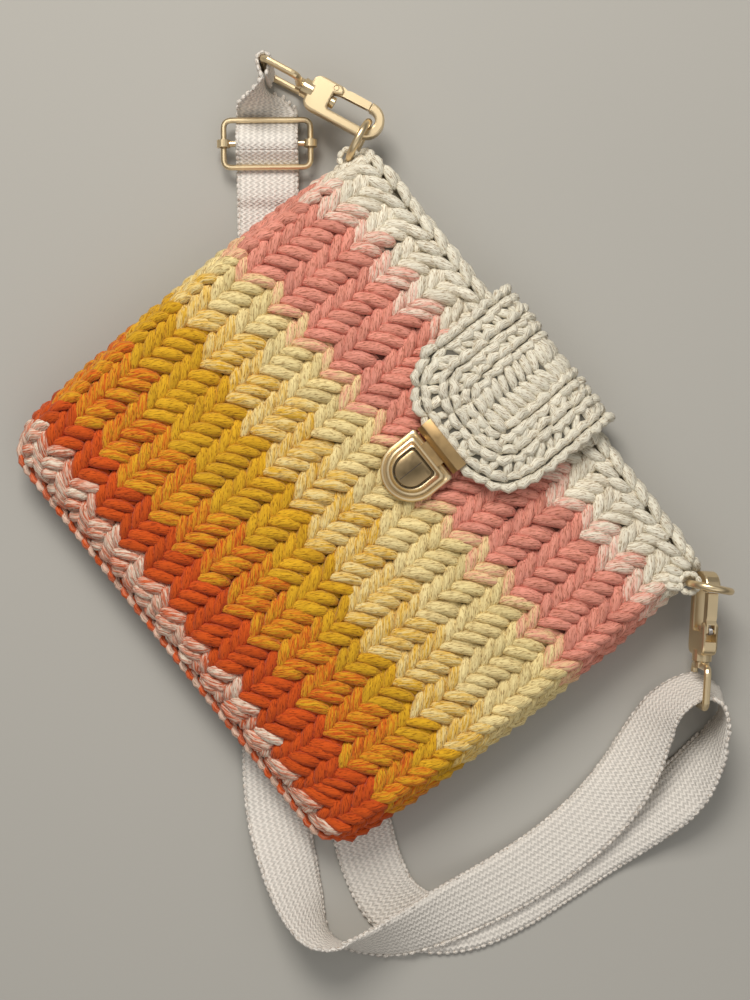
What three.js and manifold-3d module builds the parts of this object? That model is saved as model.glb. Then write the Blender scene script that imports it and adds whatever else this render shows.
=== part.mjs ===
// A flat crocheted crossbody bag, lying on its back, with its webbing strap laid round it.
// Millimetres. X runs to the bag's right, Y up to its mouth, Z out of its front face.
// The origin is on the surface the bag lies on, under the middle of the pouch.
import * as THREE from 'three';
import { mergeVertices } from 'three/addons/utils/BufferGeometryUtils.js';
import Module from 'manifold-3d';

const wasm = await Module();
wasm.setup();

// Fits
const GAP = 0.35;
const RUNNING_FIT = 0.3;

// Pouch
const BAG_WIDTH_TOP = 220;
const BAG_WIDTH_BOTTOM = 208;
const BAG_HEIGHT = 184;
const BAG_THICKNESS = 30;
const MOUTH_THICKNESS = 24;
const WALL = 7;
const TOP_CORNER_RADIUS = 16;
const BOTTOM_CORNER_RADIUS = 15;
const SIDE_ROUND = 8;
const MOUTH_TAPER = 44;
const BOTTOM_TAPER = 42;

// Corner loops that hold the rings
const LUG_SIDE = 1;
const LUG_DROP = 7;
const LUG_RADIUS = 4.6;
const LUG_THICKNESS = 6;
const LUG_ROOT = 20;
const LUG_HOLE_RADIUS = 2.5;

// Rings
const RING_RADIUS = 8.5;
const RING_WIRE = 3;
const RING_RIGHT_TURN = 40;

// Flap
const FLAP_X = 5;
const FLAP_WIDTH = 66;
const FLAP_THICKNESS = 6;
const FLAP_TIP_THICKNESS = 2.8;
const FLAP_TIP_WIDTH = 30;
const FLAP_ROUND = 17;
const FLAP_RISE = 5;

// Lock
const LOCK_Y = 24.5;
const LOCK_WIDTH = 25.5;
const LOCK_HEIGHT = 24;
const FLANGE_THICKNESS = 1.8;
const CASE_STEP = 2.6;
const CASE_HEIGHT = 5.6;
const CASE_WALL = 1.5;
const BUTTON_WIDTH = 13;
const BUTTON_PROUD = 0.9;
const BUTTON_LIP = 1.2;
const NECK_RADIUS = 1.6;
const SHOULDER_RADIUS = 3;
const TONGUE_WIDTH = 11;
const TONGUE_THICKNESS = 0.8;
const TONGUE_REACH = 3.9;
const CLAMP_WIDTH = 23.2;
const CLAMP_LENGTH = 6.6;
const CLAMP_PLATE = 1;
const CLAMP_FRONT = 1.6;
const PRONG_WIDTH = 3;
const PRONG_THICKNESS = 1;
const PRONG_SPREAD = 15;
const BACK_PLATE_THICKNESS = 0.8;
const LOCK_SPRING_RADIUS = 1.1;
const LOCK_SPRING_WIRE = 0.4;
const LOCK_SPRING_SPREAD = 6;

// Snap hooks: measured along the hook from the ring's wire, and across it from the swivel's axis
const THROAT_WIDTH = 7.2;
const HOOK_BAR = 3.8;
const HOOK_THICKNESS = 6.6;
const HOOK_EDGE = 0.8;
const RING_PLAY = 1;
const THROAT_LENGTH = 18;
const HOOK_BASE_END = 28;
const COLLAR_LENGTH = 2.6;
const COLLAR_RADIUS = 4;
const SHANK_RADIUS = 2;
const SHANK_HEAD_RADIUS = 2.5;
const SHANK_HEAD_LENGTH = 1.6;
const CLAW_TIP = 2;
const GATE_PIN_RADIUS = 0.95;
const GATE_WIDTH = 4.4;
const GATE_SHEET = 0.8;
const GATE_SPRING_RADIUS = 1.55;
const GATE_SPRING_WIRE = 0.45;
const HOOK_LEFT_TURN = 203;
const HOOK_RIGHT_TURN = -42;
const HOOK_LEFT_ROLL = 90;
const HOOK_RIGHT_ROLL = 15;

// Swivel eyes
const EYE_WIRE = 3;
const EYE_CORNER = 3.2;
const EYE_LENGTH = 16;
const EYE_SIDE_PLAY = 0.6;

// Strap and slider
const STRAP_WIDTH = 26;
const STRAP_THICKNESS = 1.6;
const SLIDER_WIRE = 2.4;
const SLIDER_SIDE = 6.25;
const SLIDER_LENGTH = 22;
const SLIDER_CORNER = 3.4;
const SLIDER_DISTANCE = 30;
const SLIDER_COLLAR_LENGTH = 3;
const SLIDER_COLLAR_WALL = 1.2;
const STRAP_TAIL = 22;
const SEWN_END = 8;
const CHANNEL_PLAY = 1.5;

// Places that follow from the sizes above
const Z_AXIS = new THREE.Vector3(0, 0, 1);
const TOP_Y = BAG_HEIGHT / 2;
const SLIDER_WIDTH = STRAP_WIDTH + 2 * SLIDER_SIDE;
const EYE_HALF_WIDTH = STRAP_WIDTH / 2 + EYE_SIDE_PLAY + EYE_WIRE / 2;
const HOOK_AXIS_Z = EYE_HALF_WIDTH + EYE_WIRE / 2 + GAP;
const LUG_X = BAG_WIDTH_TOP / 2 + LUG_SIDE;
const LUG_Y = TOP_Y - LUG_DROP;
const RING_LEFT_TURN = HOOK_LEFT_TURN - 90;
const RING_LEFT_Z = HOOK_AXIS_Z;
const RING_RIGHT_Z = HOOK_AXIS_Z + RING_RADIUS;
const HOOK_LENGTH = HOOK_BASE_END + COLLAR_LENGTH;
const EYE_BASE = HOOK_LENGTH + GAP + EYE_WIRE / 2;
const EYE_BAR = EYE_BASE + EYE_LENGTH;
const PLY = STRAP_THICKNESS + GAP;
const FLOOR_PLY = STRAP_THICKNESS / 2 + 0.2;
const SLIDER_Z = FLOOR_PLY + 2 * PLY + STRAP_THICKNESS / 2 + GAP + SLIDER_WIRE / 2;
const FRONT = BAG_THICKNESS;
const LOCK_PLACE = new THREE.Vector3(FLAP_X, LOCK_Y, FRONT);

// Materials
const crochet = new THREE.MeshStandardMaterial({ color: 0xe79a4a, roughness: 0.95 });
const offWhite = new THREE.MeshStandardMaterial({ color: 0xdcd7c8, roughness: 0.95 });
const webbing = new THREE.MeshStandardMaterial({ color: 0xb8aea3, roughness: 0.9 });
const gold = new THREE.MeshStandardMaterial({ color: 0xc79f61, roughness: 0.22, metalness: 1 });
const springSteel = new THREE.MeshStandardMaterial({ color: 0x9a9a9c, roughness: 0.35, metalness: 1 });

const bag = new THREE.Group();

// Solids: from a geometry to a closed body that can be joined and cut, and back again
function toSolid(geometry) {
  const bare = geometry.clone();
  bare.deleteAttribute('normal');
  bare.deleteAttribute('uv');
  const merged = mergeVertices(bare, 1e-4);
  const vertProperties = new Float32Array(merged.attributes.position.array);
  const triVerts = new Uint32Array(merged.index.array);
  return new wasm.Manifold(new wasm.Mesh({ numProp: 3, vertProperties, triVerts }));
}

function toGeometry(solid) {
  const { vertProperties, triVerts } = solid.getMesh();
  const geometry = new THREE.BufferGeometry();
  geometry.setAttribute('position', new THREE.BufferAttribute(vertProperties, 3));
  geometry.setIndex(new THREE.BufferAttribute(triVerts, 1));
  geometry.computeVertexNormals();
  return geometry;
}

function addPiece(name, geometry, material, parent = bag) {
  const piece = new THREE.Mesh(geometry, material);
  piece.name = name;
  parent.add(piece);
  return piece;
}

function joined(first, ...others) {
  return others.reduce((solid, other) => solid.add(toSolid(other)), toSolid(first));
}

function cut(solid, ...cutters) {
  return cutters.reduce((left, cutter) => left.subtract(toSolid(cutter)), solid);
}

// A turned frame: local X runs along the first direction, local Y along the second
function frameAt(place, alongX, alongY) {
  const group = new THREE.Group();
  const alongZ = new THREE.Vector3().crossVectors(alongX, alongY);
  const turn = new THREE.Matrix4().makeBasis(alongX, alongY, alongZ);
  group.quaternion.setFromRotationMatrix(turn);
  group.position.copy(place);
  bag.add(group);
  return group;
}

function planDirection(degrees) {
  const angle = THREE.MathUtils.degToRad(degrees);
  return new THREE.Vector3(Math.cos(angle), Math.sin(angle), 0);
}

function leftOf(direction) {
  return new THREE.Vector3(-direction.y, direction.x, 0);
}

function boxBetween(low, high) {
  const size = high.map((value, axis) => value - low[axis]);
  const middle = high.map((value, axis) => (value + low[axis]) / 2);
  return new THREE.BoxGeometry(...size).translate(...middle);
}

function rodAlongX(radius, from, to, y = 0, z = 0, sides = 20) {
  const rod = new THREE.CylinderGeometry(radius, radius, to - from, sides);
  return rod.rotateZ(-Math.PI / 2).translate((from + to) / 2, y, z);
}

function rodAlongZ(radius, from, to, x = 0, y = 0, sides = 20) {
  const rod = new THREE.CylinderGeometry(radius, radius, to - from, sides);
  return rod.rotateX(Math.PI / 2).translate(x, y, (from + to) / 2);
}

// An outline through corner points, each with its own rounding
function roundedShape(corners) {
  const shape = new THREE.Shape();
  corners.forEach(([x, y, radius], index) => {
    const corner = new THREE.Vector2(x, y);
    const before = new THREE.Vector2(...corners.at(index - 1));
    const after = new THREE.Vector2(...corners[(index + 1) % corners.length]);
    const back = before.sub(corner).normalize();
    const ahead = after.sub(corner).normalize();
    const half = Math.acos(THREE.MathUtils.clamp(back.dot(ahead), -1, 1)) / 2;
    const reach = radius / Math.tan(half);
    const start = corner.clone().addScaledVector(back, reach);
    const end = corner.clone().addScaledVector(ahead, reach);
    if (index === 0) shape.moveTo(start.x, start.y);
    else shape.lineTo(start.x, start.y);
    if (radius > 0) shape.quadraticCurveTo(x, y, end.x, end.y);
  });
  shape.closePath();
  return shape;
}

function plate(shape, from, to, edge = 0, curveSegments = 6) {
  const geometry = new THREE.ExtrudeGeometry(shape, {
    depth: to - from - 2 * edge,
    bevelEnabled: edge > 0,
    bevelThickness: edge,
    bevelSize: edge,
    bevelOffset: -edge,
    bevelSegments: 2,
    curveSegments,
  });
  return geometry.translate(0, 0, from + edge);
}

// A skin over rings of points, closed on itself or with an end face at each end
function loft(rings, closed) {
  const count = rings[0].length;
  const spans = closed ? rings.length : rings.length - 1;
  const index = [];
  for (let span = 0; span < spans; span += 1) {
    for (let point = 0; point < count; point += 1) {
      const a = span * count + point;
      const b = span * count + ((point + 1) % count);
      const c = ((span + 1) % rings.length) * count + point;
      const d = ((span + 1) % rings.length) * count + ((point + 1) % count);
      if (point < count / 2) index.push(a, b, d, a, d, c);
      else index.push(a, b, c, b, d, c);
    }
  }
  const last = (rings.length - 1) * count;
  for (let point = 1; point < count - 1 && !closed; point += 1) {
    index.push(0, point + 1, point, last, last + point, last + point + 1);
  }
  const geometry = new THREE.BufferGeometry().setFromPoints(rings.flat());
  geometry.setIndex(index);
  if (toSolid(geometry).volume() < 0) geometry.setIndex(index.reverse());
  return geometry;
}

// A round wire bent into a flat closed loop in the local XY plane
function wireLoop(shape, wire, sides, divisions) {
  const path = shape.getPoints(divisions);
  if (path[0].distanceTo(path.at(-1)) < 1e-6) path.pop();
  const rings = path.map((point, index) => {
    const before = path.at(index - 1);
    const after = path[(index + 1) % path.length];
    const ahead = after.clone().sub(before).normalize();
    return Array.from({ length: sides }, (unused, side) => {
      const angle = (side / sides) * 2 * Math.PI;
      const out = (wire / 2) * Math.cos(angle);
      const up = (wire / 2) * Math.sin(angle);
      return new THREE.Vector3(point.x + ahead.y * out, point.y - ahead.x * out, up);
    });
  });
  return loft(rings, true);
}

function roundWire(points, wire, steps, sides = 6) {
  const section = new THREE.Shape().absarc(0, 0, wire / 2, 0, 2 * Math.PI);
  const extrudePath = new THREE.CatmullRomCurve3(points);
  const curveSegments = sides / 2;
  return new THREE.ExtrudeGeometry(section, { steps, extrudePath, bevelEnabled: false, curveSegments });
}

function coilPoints(radius, pitch, turns, perTurn = 8) {
  return Array.from({ length: turns * perTurn + 1 }, (unused, step) => {
    const angle = (step / perTurn) * 2 * Math.PI;
    return new THREE.Vector3(radius * Math.cos(angle), radius * Math.sin(angle), (step / perTurn) * pitch);
  });
}

// Pouch: a front outline and a side profile, both offset inwards for the hollow
function pouchOutline(inset, rise, cornerRadius) {
  const top = TOP_Y + rise;
  const bottom = -TOP_Y + inset;
  const halfTop = BAG_WIDTH_TOP / 2 - inset;
  const halfBottom = BAG_WIDTH_BOTTOM / 2 - inset;
  const low = Math.max(BOTTOM_CORNER_RADIUS - inset, 4);
  return roundedShape([
    [-halfBottom, bottom, low],
    [halfBottom, bottom, low],
    [halfTop, top, cornerRadius],
    [-halfTop, top, cornerRadius],
  ]);
}

function pouchProfile(inset, rise) {
  const back = inset;
  const front = BAG_THICKNESS - inset;
  const mouth = MOUTH_THICKNESS - inset;
  const top = TOP_Y + rise;
  const bottom = -TOP_Y + inset;
  const shape = new THREE.Shape();
  const belly = (back + front) / 2.6;
  shape.moveTo(bottom + SIDE_ROUND, back);
  shape.lineTo(top, back);
  shape.lineTo(top, mouth);
  shape.lineTo(TOP_Y, mouth);
  shape.quadraticCurveTo(TOP_Y - MOUTH_TAPER / 2, front, TOP_Y - MOUTH_TAPER, front);
  shape.lineTo(-TOP_Y + BOTTOM_TAPER, front);
  shape.quadraticCurveTo(bottom, front, bottom, belly);
  shape.quadraticCurveTo(bottom, back, bottom + SIDE_ROUND, back);
  return shape;
}

function alongWidth(shape, width, middle = 0) {
  const geometry = new THREE.ExtrudeGeometry(shape, { depth: width, bevelEnabled: false, curveSegments: 6 });
  const turn = new THREE.Matrix4().makeBasis(
    new THREE.Vector3(0, 1, 0),
    new THREE.Vector3(0, 0, 1),
    new THREE.Vector3(1, 0, 0),
  );
  return geometry.applyMatrix4(turn).translate(middle - width / 2, 0, 0);
}

// The corner loop is a short tab of crochet with the ring's hole near its round end
function cornerLug(side, z) {
  const outward = new THREE.Vector2(-side, -1).normalize();
  const shape = new THREE.Shape();
  const turn = outward.angle();
  shape.absarc(side * LUG_X, LUG_Y, LUG_RADIUS, turn + Math.PI / 2, turn + 1.5 * Math.PI);
  const root = new THREE.Vector2(side * LUG_X, LUG_Y).addScaledVector(outward, LUG_ROOT);
  const across = new THREE.Vector2(-outward.y, outward.x).multiplyScalar(LUG_RADIUS);
  shape.lineTo(root.x - across.x, root.y - across.y);
  shape.lineTo(root.x + across.x, root.y + across.y);
  return plate(shape, z - LUG_THICKNESS / 2, z + LUG_THICKNESS / 2);
}

function lugHole(side, z) {
  return rodAlongZ(LUG_HOLE_RADIUS, z - LUG_THICKNESS, z + LUG_THICKNESS, side * LUG_X, LUG_Y, 16);
}

// The strap runs under the pouch in two plies, and the soft back wall is pressed in round them
function strapChannel(from, to) {
  const along = to.clone().sub(from).normalize();
  const across = leftOf(along).multiplyScalar(STRAP_WIDTH / 2 + CHANNEL_PLAY);
  const start = from.clone().addScaledVector(along, -STRAP_WIDTH);
  const end = to.clone().addScaledVector(along, STRAP_WIDTH);
  const shape = new THREE.Shape([
    new THREE.Vector2(start.x + across.x, start.y + across.y),
    new THREE.Vector2(start.x - across.x, start.y - across.y),
    new THREE.Vector2(end.x - across.x, end.y - across.y),
    new THREE.Vector2(end.x + across.x, end.y + across.y),
  ]);
  return plate(shape, -1, FLOOR_PLY + PLY + STRAP_THICKNESS / 2 + GAP);
}

// Where the strap runs: from the left eye through the slider, under the pouch and round the right eye
const lugLeft = new THREE.Vector3(-LUG_X, LUG_Y, RING_LEFT_Z);
const lugRight = new THREE.Vector3(LUG_X, LUG_Y, RING_RIGHT_Z);
const ringLeftOut = planDirection(RING_LEFT_TURN);
const ringRightOut = planDirection(RING_RIGHT_TURN);
const hookLeftAlong = planDirection(HOOK_LEFT_TURN);
const hookRightAlong = planDirection(HOOK_RIGHT_TURN);
const hookLeftPlace = lugLeft.clone().addScaledVector(ringLeftOut, 2 * RING_RADIUS);
const hookRightPlace = lugRight.clone().addScaledVector(ringRightOut, RING_RADIUS).setZ(HOOK_AXIS_Z);
const eyeLeftBar = hookLeftPlace.clone().addScaledVector(hookLeftAlong, EYE_BAR);
const eyeRightBar = hookRightPlace.clone().addScaledVector(hookRightAlong, EYE_BAR);

// Laid stretches of the strap: place in plan, lean in degrees, and the height of what it lies on
// The two bends are drawn round a pouch of this half width and half height, and stretch with the pouch
const DRAWN_HALF = [110, 92];
const FRONT_BEND = [
  [64, -95, 180, 1.85],
  [81, -106.6, 176, 1.5],
  [100, -115.5, 156, 0.3],
  [116, -121.5, 138, 0],
  [128, -124, 116, 0],
  [137.5, -121.5, 90, 0.3],
  [145, -113, 64, 0.4],
  [153, -97, 38, 1.9],
  [160, -71, 14, 2.1],
  [165, -45, 3, 2.1],
  [166.5, -20, -3, 2.1],
  [164, 3, -12, 1.7],
  [158.5, 20, -30, 0.7],
  [151, 35, -48, 0.4],
];
const BACK_BEND = [
  [173.5, 45, -124, 0],
  [178, 30, -147, 0],
  [178, 12, -166, 0],
  [176.5, -9, -178, 0],
  [174.5, -33, -180, 0],
  [171.5, -57, -181, 0],
  [166, -75, -181, 0],
  [156, -88, -181, 0],
  [142, -93, -181, 0],
  [128, -91, -181, 0],
  [112, -85, -180, 0],
];
// Round the right eye, as distances from its bar
const RIGHT_LOOP = [
  [-7.2, -13.05, -60, 2.2],
  [-8.1, -4.05, -66, 3.5],
  [-5.5, 4.85, -70, 4.1],
  [2.5, 8.75, -78, 3.5],
  [10, 5.45, -88, 2.2],
  [15, -2.05, -102, 0.6],
];
// Under the pouch: share of the way from the slider to the edge, and how far the strap bows in plan
const FRONT_UNDER = [
  [0.388, 0],
  [0.783, 0],
];
const BACK_UNDER = [
  [0.7925, -0.8],
  [0.553, -2.3],
  [0.3057, -3.9],
];
const FRONT_LIES_ON = 1.85;

// A drawn distance from the middle grows with the pouch up to its edge, and keeps its distance past it
function stretched(value, drawn, actual) {
  const inside = THREE.MathUtils.clamp(value, -drawn, drawn);
  return (inside * actual) / drawn + value - inside;
}

function bendPlaces(bend) {
  return bend.map(([x, y, lean, under]) => [
    stretched(x, DRAWN_HALF[0], BAG_WIDTH_TOP / 2),
    stretched(y, DRAWN_HALF[1], BAG_HEIGHT / 2),
    lean,
    under,
  ]);
}

const frontBend = bendPlaces(FRONT_BEND);
const backBend = bendPlaces(BACK_BEND);
const rightLoop = RIGHT_LOOP.map(([x, y, ...rest]) => [eyeRightBar.x + x, eyeRightBar.y + y, ...rest]);
const frontExit = new THREE.Vector3(...frontBend[0].slice(0, 2), 0);
const backExit = new THREE.Vector3(...backBend.at(-1).slice(0, 2), 0);
const strapAlong = frontExit.clone().sub(eyeLeftBar).setZ(0).normalize();
const strapLeft = leftOf(strapAlong);
const sliderPlace = eyeLeftBar.clone().addScaledVector(strapAlong, SLIDER_DISTANCE).setZ(SLIDER_Z);

function underPlaces(route, exit, lean, under) {
  return route.map(([share, bow]) => {
    const place = sliderPlace.clone().lerp(exit, share);
    return [place.x, place.y + bow, lean, under];
  });
}

// Through the slider: distance along the strap from the slider's bar, and height over the floor
const TOP_PLY = FLOOR_PLY + 2 * PLY;
const MIDDLE_PLY = FLOOR_PLY + PLY;
const BAR_WRAP = SLIDER_WIRE / 2 + GAP + STRAP_THICKNESS / 2;
const OVER_BAR = [
  [-12.5, TOP_PLY],
  [-9.8, TOP_PLY],
  [-6, TOP_PLY + 2.9],
  [-3, SLIDER_Z + BAR_WRAP + PLY - 1.1],
  [0, SLIDER_Z + BAR_WRAP + PLY],
  [3, SLIDER_Z + BAR_WRAP + PLY - 1.1],
  [6, TOP_PLY + 2.9],
  [9.8, TOP_PLY],
  [14, TOP_PLY],
  [STRAP_TAIL, TOP_PLY],
  [STRAP_TAIL + 4, MIDDLE_PLY + 0.2],
  [STRAP_TAIL + 7, MIDDLE_PLY],
];
const ROUND_BAR = [
  [34, FLOOR_PLY],
  [14, FLOOR_PLY],
  [9.8, FLOOR_PLY],
  [6.4, FLOOR_PLY + 1],
  [3.2, SLIDER_Z - BAR_WRAP - 0.6],
  [0, SLIDER_Z - BAR_WRAP],
  [-0.71 * BAR_WRAP, SLIDER_Z - 0.71 * BAR_WRAP],
  [-BAR_WRAP, SLIDER_Z],
  [-0.71 * BAR_WRAP, SLIDER_Z + 0.71 * BAR_WRAP],
  [0, SLIDER_Z + BAR_WRAP],
  [2.6, SLIDER_Z + BAR_WRAP - 1.1],
  [6, MIDDLE_PLY + 2.4],
  [9.8, MIDDLE_PLY],
  [14, MIDDLE_PLY],
  [STRAP_TAIL - 1.5, MIDDLE_PLY],
];
// Round the left eye's bar: distance along the strap, and offset across the two sewn plies
const EYE_WRAP = EYE_WIRE / 2 + GAP + STRAP_THICKNESS / 2;
const ROUND_EYE = [
  [SEWN_END - 1.5, PLY / 2 + 0.2],
  [5, PLY / 2 + 0.4],
  [3, 0.78 * EYE_WRAP],
  [0, EYE_WRAP],
  [-0.71 * EYE_WRAP, 0.71 * EYE_WRAP],
  [-EYE_WRAP, 0],
  [-0.71 * EYE_WRAP, -0.71 * EYE_WRAP],
  [0, -EYE_WRAP],
  [3, -0.78 * EYE_WRAP],
  [6, -PLY / 2 - 0.2],
  [SEWN_END, -PLY / 2],
  [12.5, 0],
];
const STRAP_STEPS = 150;

function strapStation(place, width) {
  return { place, width };
}

function leanedWidth(left, degrees) {
  const lean = THREE.MathUtils.degToRad(degrees);
  return left.clone().multiplyScalar(Math.cos(lean)).addScaledVector(Z_AXIS, Math.sin(lean));
}

function leanHeight(degrees) {
  const lean = THREE.MathUtils.degToRad(degrees);
  const edge = Math.abs(Math.sin(lean)) * (STRAP_WIDTH / 2);
  return edge + Math.abs(Math.cos(lean)) * (STRAP_THICKNESS / 2) + 0.2;
}

function eyeStations() {
  const free = SLIDER_DISTANCE + OVER_BAR[0][0];
  return ROUND_EYE.map(([along, offset]) => {
    const share = THREE.MathUtils.smoothstep(along, SEWN_END, free);
    const lean = THREE.MathUtils.lerp(90, 180, share);
    const width = leanedWidth(strapLeft, lean);
    const normal = new THREE.Vector3().crossVectors(width, strapAlong);
    const height = THREE.MathUtils.lerp(HOOK_AXIS_Z, TOP_PLY, share);
    const place = eyeLeftBar.clone().addScaledVector(strapAlong, along).setZ(height);
    return strapStation(place.addScaledVector(normal, offset), width);
  });
}

function sliderStations(route, flip) {
  return route.map(([along, height]) => {
    const place = sliderPlace.clone().addScaledVector(strapAlong, along).setZ(height);
    return strapStation(place, strapLeft.clone().multiplyScalar(flip));
  });
}

function laidStations(route) {
  return route.map(([x, y, lean, under], index) => {
    const before = route[Math.max(index - 1, 0)];
    const after = route[Math.min(index + 1, route.length - 1)];
    const along = new THREE.Vector3(after[0] - before[0], after[1] - before[1], 0).normalize();
    const place = new THREE.Vector3(x, y, under + leanHeight(lean));
    return strapStation(place, leanedWidth(leftOf(along), lean));
  });
}

function strapGeometry() {
  const stations = [
    ...eyeStations(),
    ...sliderStations(OVER_BAR, -1),
    ...laidStations([
      ...underPlaces(FRONT_UNDER, frontExit, 180, FRONT_LIES_ON),
      ...frontBend,
      ...rightLoop,
      ...backBend,
      ...underPlaces(BACK_UNDER, backExit, -180, 0),
    ]),
    ...sliderStations(ROUND_BAR, 1),
  ];
  const middle = new THREE.CatmullRomCurve3(stations.map(({ place }) => place), false, 'centripetal');
  const edge = new THREE.CatmullRomCurve3(stations.map(({ width }) => width), false, 'catmullrom', 0.4);
  const rings = Array.from({ length: STRAP_STEPS + 1 }, (unused, step) => {
    const share = step / STRAP_STEPS;
    const place = middle.getPoint(share);
    const ahead = middle.getTangent(share);
    const width = edge.getPoint(share);
    const level = ahead.clone().setZ(0);
    if (level.length() > 0.1) width.addScaledVector(level, -width.dot(level) / level.lengthSq());
    width.normalize();
    const normal = new THREE.Vector3().crossVectors(width, ahead).normalize();
    const half = width.multiplyScalar(STRAP_WIDTH / 2);
    const face = normal.multiplyScalar(STRAP_THICKNESS / 2);
    return [
      place.clone().add(half).add(face),
      place.clone().sub(half).add(face),
      place.clone().sub(half).sub(face),
      place.clone().add(half).sub(face),
    ];
  });
  return loft(rings, false);
}

function bagBody() {
  const soft = plate(pouchOutline(0, 3 * SIDE_ROUND, 0), 0, BAG_THICKNESS, SIDE_ROUND);
  const outline = plate(pouchOutline(0, 0, TOP_CORNER_RADIUS), -1, BAG_THICKNESS + 1);
  const profile = alongWidth(pouchProfile(0, 0), 2 * BAG_WIDTH_TOP);
  const hollow = toSolid(plate(pouchOutline(WALL, SIDE_ROUND, 0), -1, BAG_THICKNESS + 1));
  const hollowProfile = toSolid(alongWidth(pouchProfile(WALL, SIDE_ROUND), 2 * BAG_WIDTH_TOP));
  let body = toSolid(soft).intersect(toSolid(outline)).intersect(toSolid(profile));
  body = body.add(toSolid(cornerLug(-1, RING_LEFT_Z))).add(toSolid(cornerLug(1, RING_RIGHT_Z)));
  body = body.subtract(hollow.intersect(hollowProfile));
  const channels = [frontExit, backExit].map((exit) => strapChannel(sliderPlace, exit));
  return cut(body, lugHole(-1, RING_LEFT_Z), lugHole(1, RING_RIGHT_Z), ...prongSlots(), ...channels);
}

// The flap: a thick band from the back rim over the mouth to the front, cut to a tongue
const CLAMP_Y = LOCK_Y + LOCK_HEIGHT / 2 + 0.7;
const FLAP_TIP_Y = CLAMP_Y + CLAMP_PLATE + GAP;
const TIP_LOW = FRONT + GAP + CLAMP_PLATE + GAP;
const TIP_HIGH = TIP_LOW + FLAP_TIP_THICKNESS;

function flapProfile() {
  const seat = TOP_Y + GAP;
  const inner = [FLAP_RISE, (MOUTH_THICKNESS + GAP - FLAP_THICKNESS - GAP) / 2];
  const outer = inner.map((value) => value + FLAP_THICKNESS);
  const middle = inner[1] + FLAP_THICKNESS + GAP;
  const rim = middle + inner[1];
  const bend = TOP_Y - MOUTH_TAPER;
  const tipEnd = CLAMP_Y + CLAMP_LENGTH + GAP;
  const shape = new THREE.Shape();
  shape.absellipse(seat, middle, outer[0], outer[1], -Math.PI / 2, Math.PI / 2);
  const top = FRONT + GAP + FLAP_THICKNESS;
  shape.quadraticCurveTo((seat + bend) / 2, top, bend + 6, top);
  shape.quadraticCurveTo(tipEnd + 2, top, tipEnd, TIP_HIGH);
  shape.lineTo(FLAP_TIP_Y, TIP_HIGH);
  shape.lineTo(FLAP_TIP_Y, TIP_LOW);
  shape.lineTo(tipEnd, TIP_LOW);
  shape.lineTo(tipEnd + 3, FRONT + 2 * GAP);
  shape.quadraticCurveTo((seat + bend) / 2, FRONT + 2 * GAP, seat, rim + GAP);
  shape.absellipse(seat, middle, inner[0], inner[1], Math.PI / 2, -Math.PI / 2, true);
  return shape;
}

function flapOutline() {
  const half = FLAP_WIDTH / 2;
  const far = TOP_Y + 2 * FLAP_THICKNESS + 2 * FLAP_RISE;
  return roundedShape([
    [FLAP_X - FLAP_TIP_WIDTH / 2, FLAP_TIP_Y - 1, 0],
    [FLAP_X + FLAP_TIP_WIDTH / 2, FLAP_TIP_Y - 1, 0],
    [FLAP_X + half - 1, FLAP_TIP_Y + 3, FLAP_ROUND],
    [FLAP_X + half, far, 0],
    [FLAP_X - half, far, 0],
    [FLAP_X - half + 1, FLAP_TIP_Y + 3, FLAP_ROUND],
  ]);
}

function flapGeometry() {
  const band = toSolid(alongWidth(flapProfile(), FLAP_WIDTH + 4, FLAP_X));
  const tongue = band.intersect(toSolid(plate(flapOutline(), -5, 2 * BAG_THICKNESS)));
  const holes = [-1, 1].map((side) => {
    const x = FLAP_X + side * RIVET_SPREAD / 2;
    return rodAlongZ(RIVET_RADIUS + RUNNING_FIT, FRONT, TIP_HIGH + 1, x, RIVET_Y, 12);
  });
  return toGeometry(cut(tongue, ...holes));
}

// Lock, in a frame with its origin on the pouch's front face
const FLANGE_LOW = GAP;
const FLANGE_HIGH = FLANGE_LOW + FLANGE_THICKNESS;
const CASE_LOW = FLANGE_HIGH + GAP;
const CASE_HIGH = CASE_LOW + CASE_HEIGHT;
const ROOF_LOW = CASE_HIGH - CASE_WALL;
const TONGUE_LOW = CASE_LOW + 0.1;
const TONGUE_HIGH = TONGUE_LOW + TONGUE_THICKNESS;
const LIP_HIGH = ROOF_LOW - RUNNING_FIT;
const LIP_LOW = LIP_HIGH - BUTTON_LIP;
const RIVET_SPREAD = 14;
const RIVET_RADIUS = 0.9;
const RIVET_Y = CLAMP_Y + CLAMP_PLATE + (CLAMP_LENGTH - CLAMP_PLATE) / 2 + 0.4;

// A D outline: flat towards the flap, half round away from it, offset inwards
function dShape(width, height, inset, corner) {
  const radius = width / 2 - inset;
  const top = height / 2 - inset;
  const middle = -height / 2 + width / 2;
  const shape = new THREE.Shape();
  shape.moveTo(-radius + corner, top);
  shape.quadraticCurveTo(-radius, top, -radius, top - corner);
  shape.absarc(0, middle, radius, Math.PI, 2 * Math.PI);
  shape.lineTo(radius, top - corner);
  shape.quadraticCurveTo(radius, top, radius - corner, top);
  shape.closePath();
  return shape;
}

function prongSlots() {
  const low = FRONT - WALL - 1;
  return [-1, 1].map((side) => {
    const x = FLAP_X + side * PRONG_SPREAD / 2;
    const wide = PRONG_THICKNESS / 2 + GAP;
    const tall = PRONG_WIDTH / 2 + GAP;
    return boxBetween([x - wide, LOCK_Y - tall, low], [x + wide, LOCK_Y + tall, FRONT + 1]);
  });
}

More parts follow.
